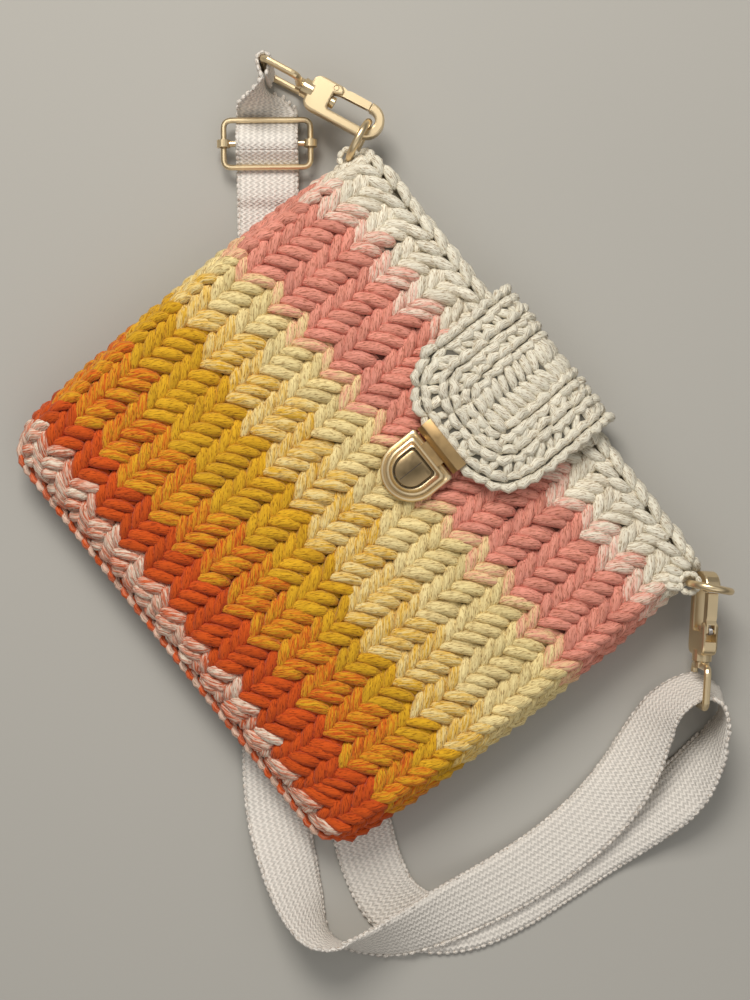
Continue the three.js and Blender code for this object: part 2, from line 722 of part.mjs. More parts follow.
function lockBase() {
  const flange = plate(dShape(LOCK_WIDTH, LOCK_HEIGHT, 0, 3), FLANGE_LOW, FLANGE_HIGH, 0.6, 12);
  const plateBack = -WALL - GAP - BACK_PLATE_THICKNESS - GAP;
  const prongs = [-1, 1].flatMap((side) => {
    const x = side * PRONG_SPREAD / 2;
    const half = PRONG_WIDTH / 2;
    const near = Math.min(x - side * 4, x + side * PRONG_THICKNESS / 2);
    const far = Math.max(x - side * 4, x + side * PRONG_THICKNESS / 2);
    const leg = [x - PRONG_THICKNESS / 2, -half, plateBack - PRONG_THICKNESS];
    return [
      boxBetween(leg, [x + PRONG_THICKNESS / 2, half, FLANGE_LOW + 0.8]),
      boxBetween([near, -half, plateBack - PRONG_THICKNESS], [far, half, plateBack]),
    ];
  });
  const well = rodAlongZ(SHOULDER_RADIUS + GAP, -1, FLANGE_HIGH + 1);
  return toGeometry(cut(joined(flange, ...prongs), well));
}

function lockCase() {
  const shell = plate(dShape(LOCK_WIDTH, LOCK_HEIGHT, CASE_STEP, 2.4), CASE_LOW, CASE_HIGH, 1, 12);
  const inside = dShape(LOCK_WIDTH, LOCK_HEIGHT, CASE_STEP + CASE_WALL, 1.6);
  const window = dShape(BUTTON_WIDTH, BUTTON_WIDTH, -RUNNING_FIT, 1.6);
  const mouth = TONGUE_WIDTH / 2 + GAP;
  return toGeometry(cut(
    toSolid(shell),
    plate(inside, CASE_LOW - 1, ROOF_LOW, 0, 12),
    plate(window, CASE_LOW, CASE_HIGH + 1, 0, 12),
    boxBetween([-mouth, 0, CASE_LOW - 1], [mouth, LOCK_HEIGHT, TONGUE_HIGH + GAP]),
  ));
}

function lockButton() {
  const cap = plate(dShape(BUTTON_WIDTH, BUTTON_WIDTH, 0, 1.4), LIP_LOW, CASE_HIGH + BUTTON_PROUD, 0.4, 12);
  const lip = plate(dShape(BUTTON_WIDTH, BUTTON_WIDTH, -BUTTON_LIP, 1.4), LIP_LOW, LIP_HIGH, 0, 12);
  const neck = rodAlongZ(NECK_RADIUS, CASE_LOW, LIP_LOW + 0.5);
  const shoulder = rodAlongZ(SHOULDER_RADIUS, TONGUE_LOW - 0.1, TONGUE_HIGH + 0.1);
  const line = boxBetween(
    [-0.2, -BUTTON_WIDTH, CASE_HIGH + BUTTON_PROUD - 0.35],
    [0.2, BUTTON_WIDTH, CASE_HIGH + BUTTON_PROUD + 1],
  );
  return toGeometry(cut(joined(cap, lip, neck, shoulder), line));
}

function lockSpring() {
  const height = LIP_LOW - FLANGE_HIGH - 2 * GAP - LOCK_SPRING_WIRE;
  return roundWire(coilPoints(LOCK_SPRING_RADIUS, height / 3, 3), LOCK_SPRING_WIRE, 30);
}

function lockBackPlate() {
  const half = PRONG_SPREAD / 2 + 3.5;
  const shape = roundedShape([[-half, -6, 2], [half, -6, 2], [half, 6, 2], [-half, 6, 2]]);
  const top = -WALL - GAP;
  const slots = prongSlots().map((slot) => slot.translate(-FLAP_X, -LOCK_Y, -FRONT - 4));
  return toGeometry(cut(toSolid(plate(shape, top - BACK_PLATE_THICKNESS, top, 0.2)), ...slots));
}

// The bar folds over the flap's tip, and its tongue goes through the case's mouth to the shoulder
function tongueClamp() {
  const near = CLAMP_Y - LOCK_Y;
  const far = near + CLAMP_LENGTH;
  const low = GAP;
  const high = TIP_HIGH - FRONT + GAP + CLAMP_FRONT;
  const profile = new THREE.Shape();
  profile.moveTo(near, low);
  profile.lineTo(far, low);
  profile.lineTo(far, low + CLAMP_PLATE);
  profile.lineTo(near + CLAMP_PLATE, low + CLAMP_PLATE);
  profile.lineTo(near + CLAMP_PLATE, TIP_HIGH - FRONT + GAP);
  profile.lineTo(far, TIP_HIGH - FRONT + GAP);
  profile.lineTo(far, high - 0.4);
  profile.lineTo(far - 0.4, high);
  profile.lineTo(near + 2, high);
  profile.lineTo(near, high - 2);
  const half = TONGUE_WIDTH / 2;
  const tongue = boxBetween([-half, -TONGUE_REACH, TONGUE_LOW], [half, near + 0.5, TONGUE_HIGH]);
  const way = NECK_RADIUS + RUNNING_FIT;
  const holes = [-1, 1].map((side) => {
    const x = side * RIVET_SPREAD / 2;
    return rodAlongZ(RIVET_RADIUS + RUNNING_FIT, -1, TIP_HIGH - FRONT + 1.2, x, RIVET_Y - LOCK_Y, 12);
  });
  return toGeometry(cut(
    joined(alongWidth(profile, CLAMP_WIDTH), tongue),
    rodAlongZ(SHOULDER_RADIUS + RUNNING_FIT, TONGUE_LOW - 1, TONGUE_HIGH + 1),
    boxBetween([-way, -TONGUE_REACH - 1, TONGUE_LOW - 1], [way, 0, TONGUE_HIGH + 1]),
    ...holes,
  ));
}

function clampRivet() {
  return rodAlongZ(RIVET_RADIUS, GAP + 0.1, TIP_HIGH - FRONT + 1, 0, 0, 12);
}

// Snap hook, in a frame along the swivel's axis with its origin at the ring's wire
const THROAT_HALF = THROAT_WIDTH / 2;
const HOOK_HALF = THROAT_HALF + HOOK_BAR;
const BOWL = THROAT_HALF - RING_PLAY - RING_WIRE / 2;
const PIN_ALONG = THROAT_LENGTH;
const PIN_ACROSS = THROAT_HALF + HOOK_BAR / 2;
const GATE_SLOT = GATE_WIDTH + 2 * RUNNING_FIT - 0.2;

function hookShape() {
  const shape = new THREE.Shape();
  shape.moveTo(CLAW_TIP, THROAT_HALF);
  shape.lineTo(CLAW_TIP, HOOK_HALF);
  shape.absarc(BOWL, 0, HOOK_HALF, Math.PI / 2, 1.5 * Math.PI);
  shape.lineTo(HOOK_BASE_END - 5, -HOOK_HALF);
  shape.quadraticCurveTo(HOOK_BASE_END, -HOOK_HALF, HOOK_BASE_END, -HOOK_HALF / 2);
  shape.lineTo(HOOK_BASE_END, HOOK_HALF / 2);
  shape.quadraticCurveTo(HOOK_BASE_END, HOOK_HALF, HOOK_BASE_END - 5, HOOK_HALF);
  shape.lineTo(PIN_ALONG - 2, HOOK_HALF);
  shape.lineTo(PIN_ALONG - 3.5, HOOK_HALF - 1.5);
  shape.lineTo(PIN_ALONG - 3.5, THROAT_HALF + 0.6);
  shape.lineTo(PIN_ALONG, THROAT_HALF - 0.4);
  shape.lineTo(PIN_ALONG, -THROAT_HALF + 0.8);
  shape.lineTo(PIN_ALONG - 0.8, -THROAT_HALF);
  shape.absarc(BOWL, 0, THROAT_HALF, 1.5 * Math.PI, Math.PI / 2, true);
  return shape;
}

function pinRod(play, reach) {
  return rodAlongZ(GATE_PIN_RADIUS + play, -reach, reach, PIN_ALONG, PIN_ACROSS, 12);
}

function hookBody() {
  const side = plate(hookShape(), -HOOK_THICKNESS / 2, HOOK_THICKNESS / 2, HOOK_EDGE, 10);
  const collar = rodAlongX(COLLAR_RADIUS, HOOK_BASE_END - 2, HOOK_LENGTH);
  const slotHalf = GATE_SLOT / 2;
  const slotFrom = [PIN_ALONG - 5, THROAT_HALF - 1.2, -slotHalf];
  const slot = boxBetween(slotFrom, [PIN_ALONG + 4.4, HOOK_HALF + 2, slotHalf]);
  const bore = rodAlongX(SHANK_RADIUS + RUNNING_FIT, PIN_ALONG - 1, HOOK_LENGTH + 1);
  return toGeometry(cut(joined(side, collar), slot, bore, pinRod(0.25, HOOK_THICKNESS)));
}

// The gate is a folded channel: a web outside, a cheek on each side, open round its spring
function gateGeometry() {
  const tip = CLAW_TIP + 0.4;
  const inner = THROAT_HALF + 0.1;
  const outer = HOOK_HALF - 0.1;
  const shape = new THREE.Shape();
  shape.moveTo(tip, inner + 0.4);
  shape.lineTo(tip, outer - 0.3);
  shape.lineTo(tip + 0.3, outer);
  shape.lineTo(PIN_ALONG - 6, outer);
  shape.lineTo(PIN_ALONG - 4.4, outer - 0.5);
  shape.lineTo(PIN_ALONG - 3, outer);
  shape.absarc(PIN_ALONG, PIN_ACROSS, HOOK_BAR / 2 - 0.1, Math.PI / 2, -Math.PI / 2, true);
  const body = toSolid(plate(shape, -GATE_WIDTH / 2, GATE_WIDTH / 2, 0, 8));
  const half = GATE_WIDTH / 2 - GATE_SHEET;
  return toGeometry(cut(
    body,
    boxBetween([tip + 1.2, inner - 1, -half], [PIN_ALONG + 4, outer - GATE_SHEET - 0.5, half]),
    boxBetween([PIN_ALONG - 2.6, inner - 1, -half], [PIN_ALONG + 4, outer + 1, half]),
    pinRod(0.25, HOOK_THICKNESS),
  ));
}

function gatePin() {
  return pinRod(0, HOOK_THICKNESS / 2 - 0.1);
}

// The spring's legs lie in the gate's channel and against the floor of the slot
function gateSpring() {
  const pitch = 0.58;
  const turns = 3;
  const coil = coilPoints(GATE_SPRING_RADIUS, pitch, turns).map((point) => (
    new THREE.Vector3(PIN_ALONG + point.y, PIN_ACROSS - point.x, point.z - (pitch * turns) / 2)
  ));
  const first = coil[0];
  const last = coil.at(-1);
  const points = [
    new THREE.Vector3(first.x - 5, first.y + 0.5, first.z),
    new THREE.Vector3(first.x - 1.6, first.y, first.z),
    ...coil,
    new THREE.Vector3(last.x + 1.4, last.y, last.z),
    new THREE.Vector3(last.x + 3.6, last.y + 0.3, last.z),
  ];
  return roundWire(points, GATE_SPRING_WIRE, 40);
}

// The eye is a wire loop on a shank that turns in the hook's collar and is headed inside the throat
function swivelEye() {
  const half = EYE_HALF_WIDTH;
  const outline = roundedShape([
    [EYE_BASE, -half, EYE_CORNER],
    [EYE_BAR, -half, EYE_CORNER],
    [EYE_BAR, half, EYE_CORNER],
    [EYE_BASE, half, EYE_CORNER],
  ]);
  const head = PIN_ALONG - RUNNING_FIT;
  return toGeometry(joined(
    wireLoop(outline, EYE_WIRE, 10, 5),
    rodAlongX(SHANK_RADIUS, head - SHANK_HEAD_LENGTH / 2, EYE_BASE),
    rodAlongX(SHANK_HEAD_RADIUS, head - SHANK_HEAD_LENGTH, head),
    rodAlongX(COLLAR_RADIUS - 0.8, HOOK_LENGTH + GAP, EYE_BASE + 0.8),
  ));
}

// Slider, in a frame with X along the strap and Y across it
function sliderFrame() {
  const along = (SLIDER_LENGTH - SLIDER_WIRE) / 2;
  const across = (SLIDER_WIDTH - SLIDER_WIRE) / 2;
  const outline = roundedShape([
    [-along, -across, SLIDER_CORNER],
    [along, -across, SLIDER_CORNER],
    [along, across, SLIDER_CORNER],
    [-along, across, SLIDER_CORNER],
  ]);
  return wireLoop(outline, SLIDER_WIRE, 10, 5);
}

// The bar's ends are rolled round the frame's side wires
function sliderBar() {
  const across = (SLIDER_WIDTH - SLIDER_WIRE) / 2;
  const boreRadius = SLIDER_WIRE / 2 + GAP;
  const half = SLIDER_COLLAR_LENGTH / 2;
  const rod = new THREE.CylinderGeometry(SLIDER_WIRE / 2, SLIDER_WIRE / 2, 2 * across, 14);
  const rolls = [-1, 1].map((side) => rodAlongX(boreRadius + SLIDER_COLLAR_WALL, -half, half, side * across));
  const bores = [-1, 1].map((side) => rodAlongX(boreRadius, -half - 1, half + 1, side * across));
  return toGeometry(cut(joined(rod, ...rolls), ...bores));
}

function ring() {
  return new THREE.TorusGeometry(RING_RADIUS, RING_WIRE / 2, 10, 28);
}

// Assembly
addPiece('bag_body', toGeometry(bagBody()), crochet);
addPiece('flap', flapGeometry(), offWhite);
addPiece('strap', strapGeometry(), webbing);

const lock = new THREE.Group();
lock.position.copy(LOCK_PLACE);
bag.add(lock);
addPiece('lock_base', lockBase(), gold, lock);
addPiece('lock_case', lockCase(), gold, lock);
addPiece('lock_button', lockButton(), gold, lock);
addPiece('lock_back_plate', lockBackPlate(), gold, lock);
addPiece('tongue_clamp', tongueClamp(), gold, lock);
for (const [name, side] of [['left', -1], ['right', 1]]) {
  const spring = addPiece(`lock_spring_${name}`, lockSpring(), springSteel, lock);
  const springY = -TONGUE_REACH - GAP - LOCK_SPRING_RADIUS - LOCK_SPRING_WIRE / 2;
  spring.position.set(side * LOCK_SPRING_SPREAD / 2, springY, FLANGE_HIGH + GAP + LOCK_SPRING_WIRE / 2);
  const rivet = addPiece(`clamp_rivet_${name}`, clampRivet(), gold, lock);
  rivet.position.set(side * RIVET_SPREAD / 2, RIVET_Y - LOCK_Y, 0);
}

const ends = [
  ['left', lugLeft, ringLeftOut, hookLeftPlace, hookLeftAlong, HOOK_LEFT_ROLL],
  ['right', lugRight, ringRightOut, hookRightPlace, hookRightAlong, HOOK_RIGHT_ROLL],
];
for (const [name, lugPlace, ringOut, hookPlace, hookAlong, roll] of ends) {
  const ringPlace = lugPlace.clone().addScaledVector(ringOut, RING_RADIUS);
  addPiece(`ring_${name}`, ring(), gold, frameAt(ringPlace, ringOut, Z_AXIS));
  const tilt = THREE.MathUtils.degToRad(roll);
  const side = leftOf(hookAlong).multiplyScalar(name === 'left' ? -1 : 1);
  const across = side.multiplyScalar(Math.sin(tilt)).addScaledVector(Z_AXIS, Math.cos(tilt)).normalize();
  const hook = frameAt(hookPlace, hookAlong, across);
  addPiece(`hook_body_${name}`, hookBody(), gold, hook);
  addPiece(`gate_${name}`, gateGeometry(), gold, hook);
  addPiece(`gate_pin_${name}`, gatePin(), gold, hook);
  addPiece(`gate_spring_${name}`, gateSpring(), springSteel, hook);
  addPiece(`swivel_eye_${name}`, swivelEye(), gold, frameAt(hookPlace, hookAlong, Z_AXIS));
}

const slider = frameAt(sliderPlace, strapAlong, strapLeft);
addPiece('slider_frame', sliderFrame(), gold, slider);
addPiece('slider_bar', sliderBar(), gold, slider);

export default bag;
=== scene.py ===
"""A flat crocheted crossbody bag with its strap, lock and hooks, laid on its back on a pale floor."""

import math

import bmesh
import bpy
import numpy as np
from bpy.props import FloatProperty, FloatVectorProperty, IntProperty, PointerProperty
from mathutils import Matrix, Vector


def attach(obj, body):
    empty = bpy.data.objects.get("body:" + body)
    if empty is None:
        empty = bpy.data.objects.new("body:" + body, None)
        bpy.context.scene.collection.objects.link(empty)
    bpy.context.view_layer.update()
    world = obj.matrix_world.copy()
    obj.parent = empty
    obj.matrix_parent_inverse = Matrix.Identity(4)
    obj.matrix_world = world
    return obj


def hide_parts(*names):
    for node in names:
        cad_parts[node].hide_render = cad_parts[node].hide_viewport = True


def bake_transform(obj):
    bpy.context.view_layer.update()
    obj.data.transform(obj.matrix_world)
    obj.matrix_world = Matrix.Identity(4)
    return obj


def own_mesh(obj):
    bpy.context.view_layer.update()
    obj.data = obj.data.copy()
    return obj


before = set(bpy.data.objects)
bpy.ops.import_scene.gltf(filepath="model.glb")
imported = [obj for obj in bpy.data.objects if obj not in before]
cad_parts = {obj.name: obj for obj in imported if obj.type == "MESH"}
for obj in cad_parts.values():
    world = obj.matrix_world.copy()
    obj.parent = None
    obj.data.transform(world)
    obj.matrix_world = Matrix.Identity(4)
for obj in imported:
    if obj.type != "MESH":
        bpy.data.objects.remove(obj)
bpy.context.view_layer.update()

bl_info = {
    "name": "Crocheted Crossbody Bag",
    "version": (1, 0, 0),
    "blender": (4, 5, 0),
    "location": "3D View > Sidebar > Crossbody Bag",
    "description": "Lays yarn, webbing and gold fittings over the frame of a crocheted crossbody bag",
    "category": "Object",
}

MM = 0.001


def colour(label, text, value):
    """A colour as it is seen on the screen."""
    return FloatVectorProperty(
        name=label, description=text, subtype="COLOR_GAMMA", size=3, min=0, max=1, default=value
    )


def length(label, text, value):
    """A size in metres."""
    return FloatProperty(name=label, description=text, unit="LENGTH", default=value, precision=5)


class BagYarns(bpy.types.PropertyGroup):
    """Colours of the yarns, the webbing and the fittings"""

    off_white: colour("Off-white", "Yarn of the flap, the rim and the top row", (0.925, 0.90, 0.825))
    coral: colour("Coral", "Yarn of the pink band", (0.90, 0.60, 0.53))
    cream: colour("Cream", "Yarn of the pale band", (0.93, 0.855, 0.62))
    mustard: colour("Mustard", "Yarn of the yellow band", (0.87, 0.67, 0.15))
    orange: colour("Orange", "Yarn of the lowest band", (0.82, 0.338, 0.105))
    webbing: colour("Webbing", "Strap", (0.925, 0.90, 0.865))
    gold: colour("Gold", "Rings, hooks, slider and lock", (0.74, 0.62, 0.44))
    satin_gold: colour("Satin gold", "Button of the lock", (0.63, 0.545, 0.41))
    steel: colour("Spring steel", "Springs inside the hooks and the lock", (0.60, 0.60, 0.61))
    floor: colour("Floor", "Floor under the bag", (0.685, 0.675, 0.65))


class BagSizes(bpy.types.PropertyGroup):
    """Sizes of the yarn work and the strap"""

    columns: IntProperty(
        name="Columns", description="Columns of stitches all the way round the pouch", default=30, min=8
    )
    row_pitch: length("Row pitch", "Distance from one strand to the next up a column", 0.0060)
    strand: length("Strand radius", "Half the thickness of one strand of yarn", 0.00275)
    rim_strand: length("Rim strand radius", "Half the thickness of a strand of the rim", 0.0024)
    flap_strand: length("Flap strand radius", "Half the thickness of a strand of the flap", 0.0021)
    strap_width: length("Strap width", "Width of the webbing", 0.026)
    strap_thickness: length("Strap thickness", "Thickness of the webbing", 0.0016)
    ring_radius: length("Ring radius", "Radius of a corner ring, to the middle of its wire", 0.0085)
    ring_wire: length("Ring wire", "Thickness of a corner ring", 0.003)


class BagStage(bpy.types.PropertyGroup):
    """Camera and floor"""

    camera_height: length("Camera height", "Height of the camera over the bag's front", 0.75)
    pixels_per_mm: FloatProperty(name="Pixels per mm", description="Scale of the picture", default=2.48)
    turn: FloatProperty(
        name="Turn", description="How far the bag is turned in the picture", subtype="ANGLE",
        default=math.radians(51.5),
    )


class CrossbodyBag(bpy.types.PropertyGroup):
    """Everything that can be set on the bag"""

    yarns: PointerProperty(type=BagYarns)
    sizes: PointerProperty(type=BagSizes)
    stage: PointerProperty(type=BagStage)


# Colours and nodes


def linear(value):
    """Screen colour to the light it stands for."""
    value = np.asarray(value, float)
    return np.where(value <= 0.04045, value / 12.92, ((value + 0.055) / 1.055) ** 2.4)


def rgba(value, strength=1.0):
    return (*(linear(value) * strength), 1.0)


def feed(tree, node, **values):
    """Sets a node's inputs by name or number: a socket is linked, anything else is a plain value."""
    for key, value in values.items():
        key = key.removeprefix("in_")
        socket = node.inputs[int(key) if key.isdigit() else key.replace("_", " ")]
        if isinstance(value, bpy.types.NodeSocket):
            tree.links.new(value, socket)
        else:
            socket.default_value = value


def add_node(tree, kind, **values):
    """A shader node with its properties set, and with its inputs fed from the keys that start with in_."""
    made = tree.nodes.new("ShaderNode" + kind)
    inputs = {key: value for key, value in values.items() if key.startswith("in_")}
    for key, value in values.items():
        if key not in inputs:
            setattr(made, key, value)
    feed(tree, made, **inputs)
    return made


def add_math(tree, operation, *inputs):
    """The result of a sum on sockets and numbers."""
    values = {f"in_{i}": value for i, value in enumerate(inputs)}
    return add_node(tree, "Math", operation=operation, **values).outputs[0]


def add_range(tree, value, *limits, kind="LINEAR"):
    """A value carried from one range to another."""
    values = {f"in_{i + 1}": limit for i, limit in enumerate(limits)}
    return add_node(tree, "MapRange", interpolation_type=kind, in_0=value, **values).outputs[0]


def add_mix(tree, share, first, second, blend="MIX"):
    """A colour between two colours."""
    return add_node(
        tree, "Mix", data_type="RGBA", blend_type=blend, in_Factor=share, in_6=first, in_7=second
    ).outputs[2]


def add_bump(tree, height, strength, distance):
    """A normal from a height."""
    return add_node(tree, "Bump", in_Strength=strength, in_Distance=distance, in_Height=height).outputs[0]


def add_noise(tree, place, scale, detail, roughness=0.5):
    """A noise at a place."""
    return add_node(
        tree, "TexNoise", in_Vector=place, in_Scale=scale, in_Detail=detail, in_Roughness=roughness
    ).outputs["Fac"]


def new_material(name):
    """A material, its node tree and its surface shader."""
    material = bpy.data.materials.new(name)
    material.use_nodes = True
    tree = material.node_tree
    return material, tree, tree.nodes["Principled BSDF"]


def object_place(tree):
    return add_node(tree, "TexCoord").outputs["Object"]


def own_place(tree, label, output="Vector"):
    """An attribute of the mesh."""
    return add_node(tree, "Attribute", attribute_name=label).outputs[output]


# Fibres of a strand: how noise is drawn out along it, its detail and roughness, and where its mask turns
PLY_STREAKS = ((170, 1500, 1500), 2.0, 0.55, (0.40, 0.60))
FLECK_STREAKS = ((520, 2600, 2600), 1.0, 0.5, (0.52, 0.68))
FLECK = (0.54, 0.45, 0.37, 1)


def fibre_group():
    """Streaks that run along a strand: a mask that mixes two plies, a mask of dark flecks, and a height."""
    found = bpy.data.node_groups.get("fibre_streaks")
    if found:
        return found
    group = bpy.data.node_groups.new("fibre_streaks", "ShaderNodeTree")
    group.interface.new_socket("Along", in_out="INPUT", socket_type="NodeSocketVector")
    fineness = group.interface.new_socket("Fineness", in_out="INPUT", socket_type="NodeSocketFloat")
    fineness.default_value = 1.0
    for label in ("Ply", "Fleck", "Height"):
        group.interface.new_socket(label, in_out="OUTPUT", socket_type="NodeSocketFloat")
    start, end = group.nodes.new("NodeGroupInput"), group.nodes.new("NodeGroupOutput")
    along, fineness = start.outputs["Along"], start.outputs["Fineness"]
    scaled = add_node(group, "VectorMath", operation="SCALE", in_0=along, in_Scale=fineness)
    noises, masks = [], []
    for drawn_out, detail, roughness, turn in (PLY_STREAKS, FLECK_STREAKS):
        place = add_node(group, "Mapping", in_Vector=scaled.outputs[0], in_Scale=drawn_out).outputs[0]
        noises.append(add_noise(group, place, 1.0, detail, roughness))
        masks.append(add_range(group, noises[-1], *turn, kind="SMOOTHSTEP"))
    height = add_math(group, "MULTIPLY_ADD", noises[1], 0.6, noises[0])
    feed(group, end, Ply=masks[0], Fleck=masks[1], Height=height)
    return group


def yarn_material(name, fineness=1.0):
    """Twisted cotton: two plies of their own colours, dark flecks between the fibres, and a fibre height."""
    material, tree, shader = new_material(name)
    fibre = add_node(
        tree, "Group", node_tree=fibre_group(), in_Along=own_place(tree, "strand"), in_Fineness=fineness
    ).outputs
    plies = (own_place(tree, label, "Color") for label in ("yarn_a", "yarn_b"))
    mixed = add_mix(tree, fibre["Ply"], *plies)
    feed(
        tree, shader, Base_Color=add_mix(tree, fibre["Fleck"], mixed, FLECK, "MULTIPLY"),
        Normal=add_bump(tree, fibre["Height"], 0.7, 0.0006), Roughness=0.92,
        Specular_IOR_Level=0.2, Sheen_Weight=0.12, Sheen_Roughness=0.5,
    )
    return material


def painted_gap_shade_material(name):
    """Painted shade for the inside of the yarn work, seen in the gaps between the strands: the yarn's colour,
    darkened and mottled darker.
    """
    material, tree, shader = new_material(name)
    mottle = add_noise(tree, object_place(tree), 420.0, 3.0)
    # Painted shade: the darkened yarn colour multiplied by a dark mottle
    dark = add_mix(tree, 0.6, own_place(tree, "yarn_a", "Color"), mottle, "MULTIPLY")
    feed(tree, shader, Base_Color=dark, Roughness=0.95, Specular_IOR_Level=0.1)
    return material


WEAVE_WIDTH, WEAVE_LENGTH = 0.0026, 0.0019


def webbing_material(shade):
    """Woven webbing: slanted picks in a broken zigzag, on the strap's own length and width, with painted
    shade that darkens the weave's low parts and a painted highlight that lightens its raised picks.
    """
    material, tree, shader = new_material("strap_webbing")
    cloth = own_place(tree, "cloth")
    weave = add_node(tree, "Mapping", in_Vector=cloth, in_Scale=(1 / WEAVE_WIDTH, 1 / WEAVE_LENGTH, 1.0))
    apart = add_node(tree, "SeparateXYZ", in_0=weave.outputs[0]).outputs
    slant = add_math(tree, "ADD", apart["X"], add_math(tree, "PINGPONG", apart["Y"], 0.5))
    pick = add_math(tree, "SINE", add_math(tree, "MULTIPLY", slant, 2 * math.pi))
    height = add_math(tree, "MULTIPLY_ADD", pick, 0.32, add_noise(tree, cloth, 900.0, 2.0))
    # Painted shade and highlight: the webbing darker where the weave is low and lighter where it is raised
    tone = add_range(tree, height, 0.1, 0.9, 0.0, 1.0)
    feed(
        tree, shader, Base_Color=add_mix(tree, tone, rgba(shade, 0.72), rgba(shade, 1.06)),
        Normal=add_bump(tree, height, 0.8, 0.0005), Roughness=0.9, Specular_IOR_Level=0.25,
    )
    return material


# Metals: the colour, the roughness, and how uneven the polish is
FINISHES = {
    "gold": ("gold", 0.08, 0.2),
    "satin_gold": ("satin_gold", 0.30, 0.12),
    "brushed_gold": ("gold", 0.40, 0.12),
    "spring_steel": ("steel", 0.3, 0.3),
}


def metal_material(name):
    """Plated metal with a little uneven polish."""
    label, roughness, scratch = FINISHES[name]
    shade = getattr(bpy.context.scene.crossbody_bag.yarns, label)
    material, tree, shader = new_material(name)
    cloud = add_noise(tree, object_place(tree), 260.0, 4.0, 0.6)
    feed(
        tree, shader, Base_Color=add_mix(tree, cloud, rgba(shade, 0.93), rgba(shade)),
        Roughness=add_range(tree, cloud, 0.3, 0.7, roughness * 0.85, roughness * 1.2),
        Normal=add_bump(tree, cloud, scratch, 0.00005), Metallic=1.0,
    )
    return material


def material_once(name, make=metal_material):
    """The material of that name, made the first time it is asked for."""
    return bpy.data.materials.get(name) or make(name)


# Meshes


def finish_mesh(mesh, material, body, node=None):
    """Puts a mesh in the scene as a smooth piece, on a body and in place of a node of the frame."""
    piece = bpy.data.objects.new(mesh.name, mesh)
    bpy.context.scene.collection.objects.link(piece)
    mesh.materials.clear()
    mesh.materials.append(material)
    mesh.polygons.foreach_set("use_smooth", np.full(len(mesh.polygons), True))
    if body:
        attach(piece, body)
    if node:
        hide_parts(node)
    return piece


def from_bmesh(name, work):
    mesh = bpy.data.meshes.new(name)
    work.to_mesh(mesh)
    work.free()
    return mesh


def close_loop(work, verts):
    """The edges of a closed loop of points."""
    return [work.edges.new((vert, verts[(i + 1) % len(verts)])) for i, vert in enumerate(verts)]


def skin_loops(work, loops):
    """Faces from each loop to the next, and over both ends."""
    for near, far in zip(loops, loops[1:]):
        bmesh.ops.bridge_loops(work, edges=near + far)
    for end in (loops[0], loops[-1]):
        bmesh.ops.holes_fill(work, edges=end, sides=0)


def outward_mesh(name, work):
    """A mesh from a bmesh, with its normals turned outwards."""
    bmesh.ops.recalc_face_normals(work, faces=work.faces)
    return from_bmesh(name, work)


def strand_shape(round_sides, long_steps):
    """One short strand, as a drawn-out ball: its points and its faces."""
    work = bmesh.new()
    bmesh.ops.create_uvsphere(work, u_segments=round_sides, v_segments=long_steps, radius=1)
    work.verts.ensure_lookup_table()
    points = np.array([v.co for v in work.verts])
    faces = [[v.index for v in f.verts] for f in work.faces]
    work.free()
    return points, faces


class Strands:
    """Strands of yarn gathered for one mesh."""

    def __init__(self):
        self.rows = []

    def add(self, start, middle, end, normal, radius, ply_a, ply_b):
        """One strand through three points, its broad side towards the normal."""
        self.rows.append(np.concatenate([start, middle, end, normal, [radius], ply_a, ply_b]))

    def mesh(self, name, seed, round_sides=8, long_steps=6, plump=1.9, twist=110.0):
        """All the strands in one mesh, with their colours and their own lengthwise coordinates."""
        unit, faces = strand_shape(round_sides, long_steps)
        rows = np.array(self.rows)
        count, per = len(rows), len(unit)
        start, middle, end, normal = (rows[:, None, 3 * i:3 * i + 3] for i in range(4))
        radius = rows[:, None, 12:13]
        control = 2 * middle - (start + end) / 2
        t = ((unit[:, 2] + 1) / 2)[None, :, None]
        place = (1 - t) ** 2 * start + 2 * t * (1 - t) * control + t ** 2 * end
        ahead = 2 * (1 - t) * (control - start) + 2 * t * (end - control)
        ahead /= np.linalg.norm(ahead, axis=2, keepdims=True)
        side = np.cross(np.broadcast_to(normal, ahead.shape), ahead)
        side /= np.linalg.norm(side, axis=2, keepdims=True)
        up = np.cross(ahead, side)
        ring = np.linalg.norm(unit[:, :2], axis=1)
        across = unit[:, :2] / np.maximum(ring, 1e-9)[:, None] * (ring > 1e-6)[:, None]
        swell = np.sqrt(np.maximum(1 - np.abs(unit[:, 2]) ** plump, 0))
        x = (across[:, 0] * swell)[None, :, None] * radius
        y = (across[:, 1] * swell)[None, :, None] * radius
        points = (place + x * side + y * up).reshape(-1, 3)
        mesh = bpy.data.meshes.new(name)
        repeated = (np.array(f)[None, :] + (np.arange(count) * per)[:, None] for f in faces)
        mesh.from_pydata(points.tolist(), [], [f for block in repeated for f in block.tolist()])
        span = np.linalg.norm(end - start, axis=2, keepdims=True)
        turn = t * span * twist
        shift = np.random.default_rng(seed).uniform(0, 1, (count, 1, 3))
        own = np.concatenate(
            [t * span, x * np.cos(turn) - y * np.sin(turn), x * np.sin(turn) + y * np.cos(turn)], axis=2
        )
        self.attribute(mesh, "strand", "FLOAT_VECTOR", "vector", (own + shift).reshape(-1, 3))
        for label, first in (("yarn_a", 13), ("yarn_b", 16)):
            shade = np.repeat(rows[:, first:first + 3], per, axis=0)
            shade = np.concatenate([shade, np.ones((len(shade), 1))], axis=1)
            self.attribute(mesh, label, "FLOAT_COLOR", "color", shade)
        return mesh

    @staticmethod
    def attribute(mesh, label, kind, field, values):
        made = mesh.attributes.new(label, kind, "POINT")
        made.data.foreach_set(field, np.ascontiguousarray(values, np.float32).ravel())


def smooth_step(value, low, high):
    share = np.clip((value - low) / (high - low), 0, 1)
    return share * share * (3 - 2 * share)


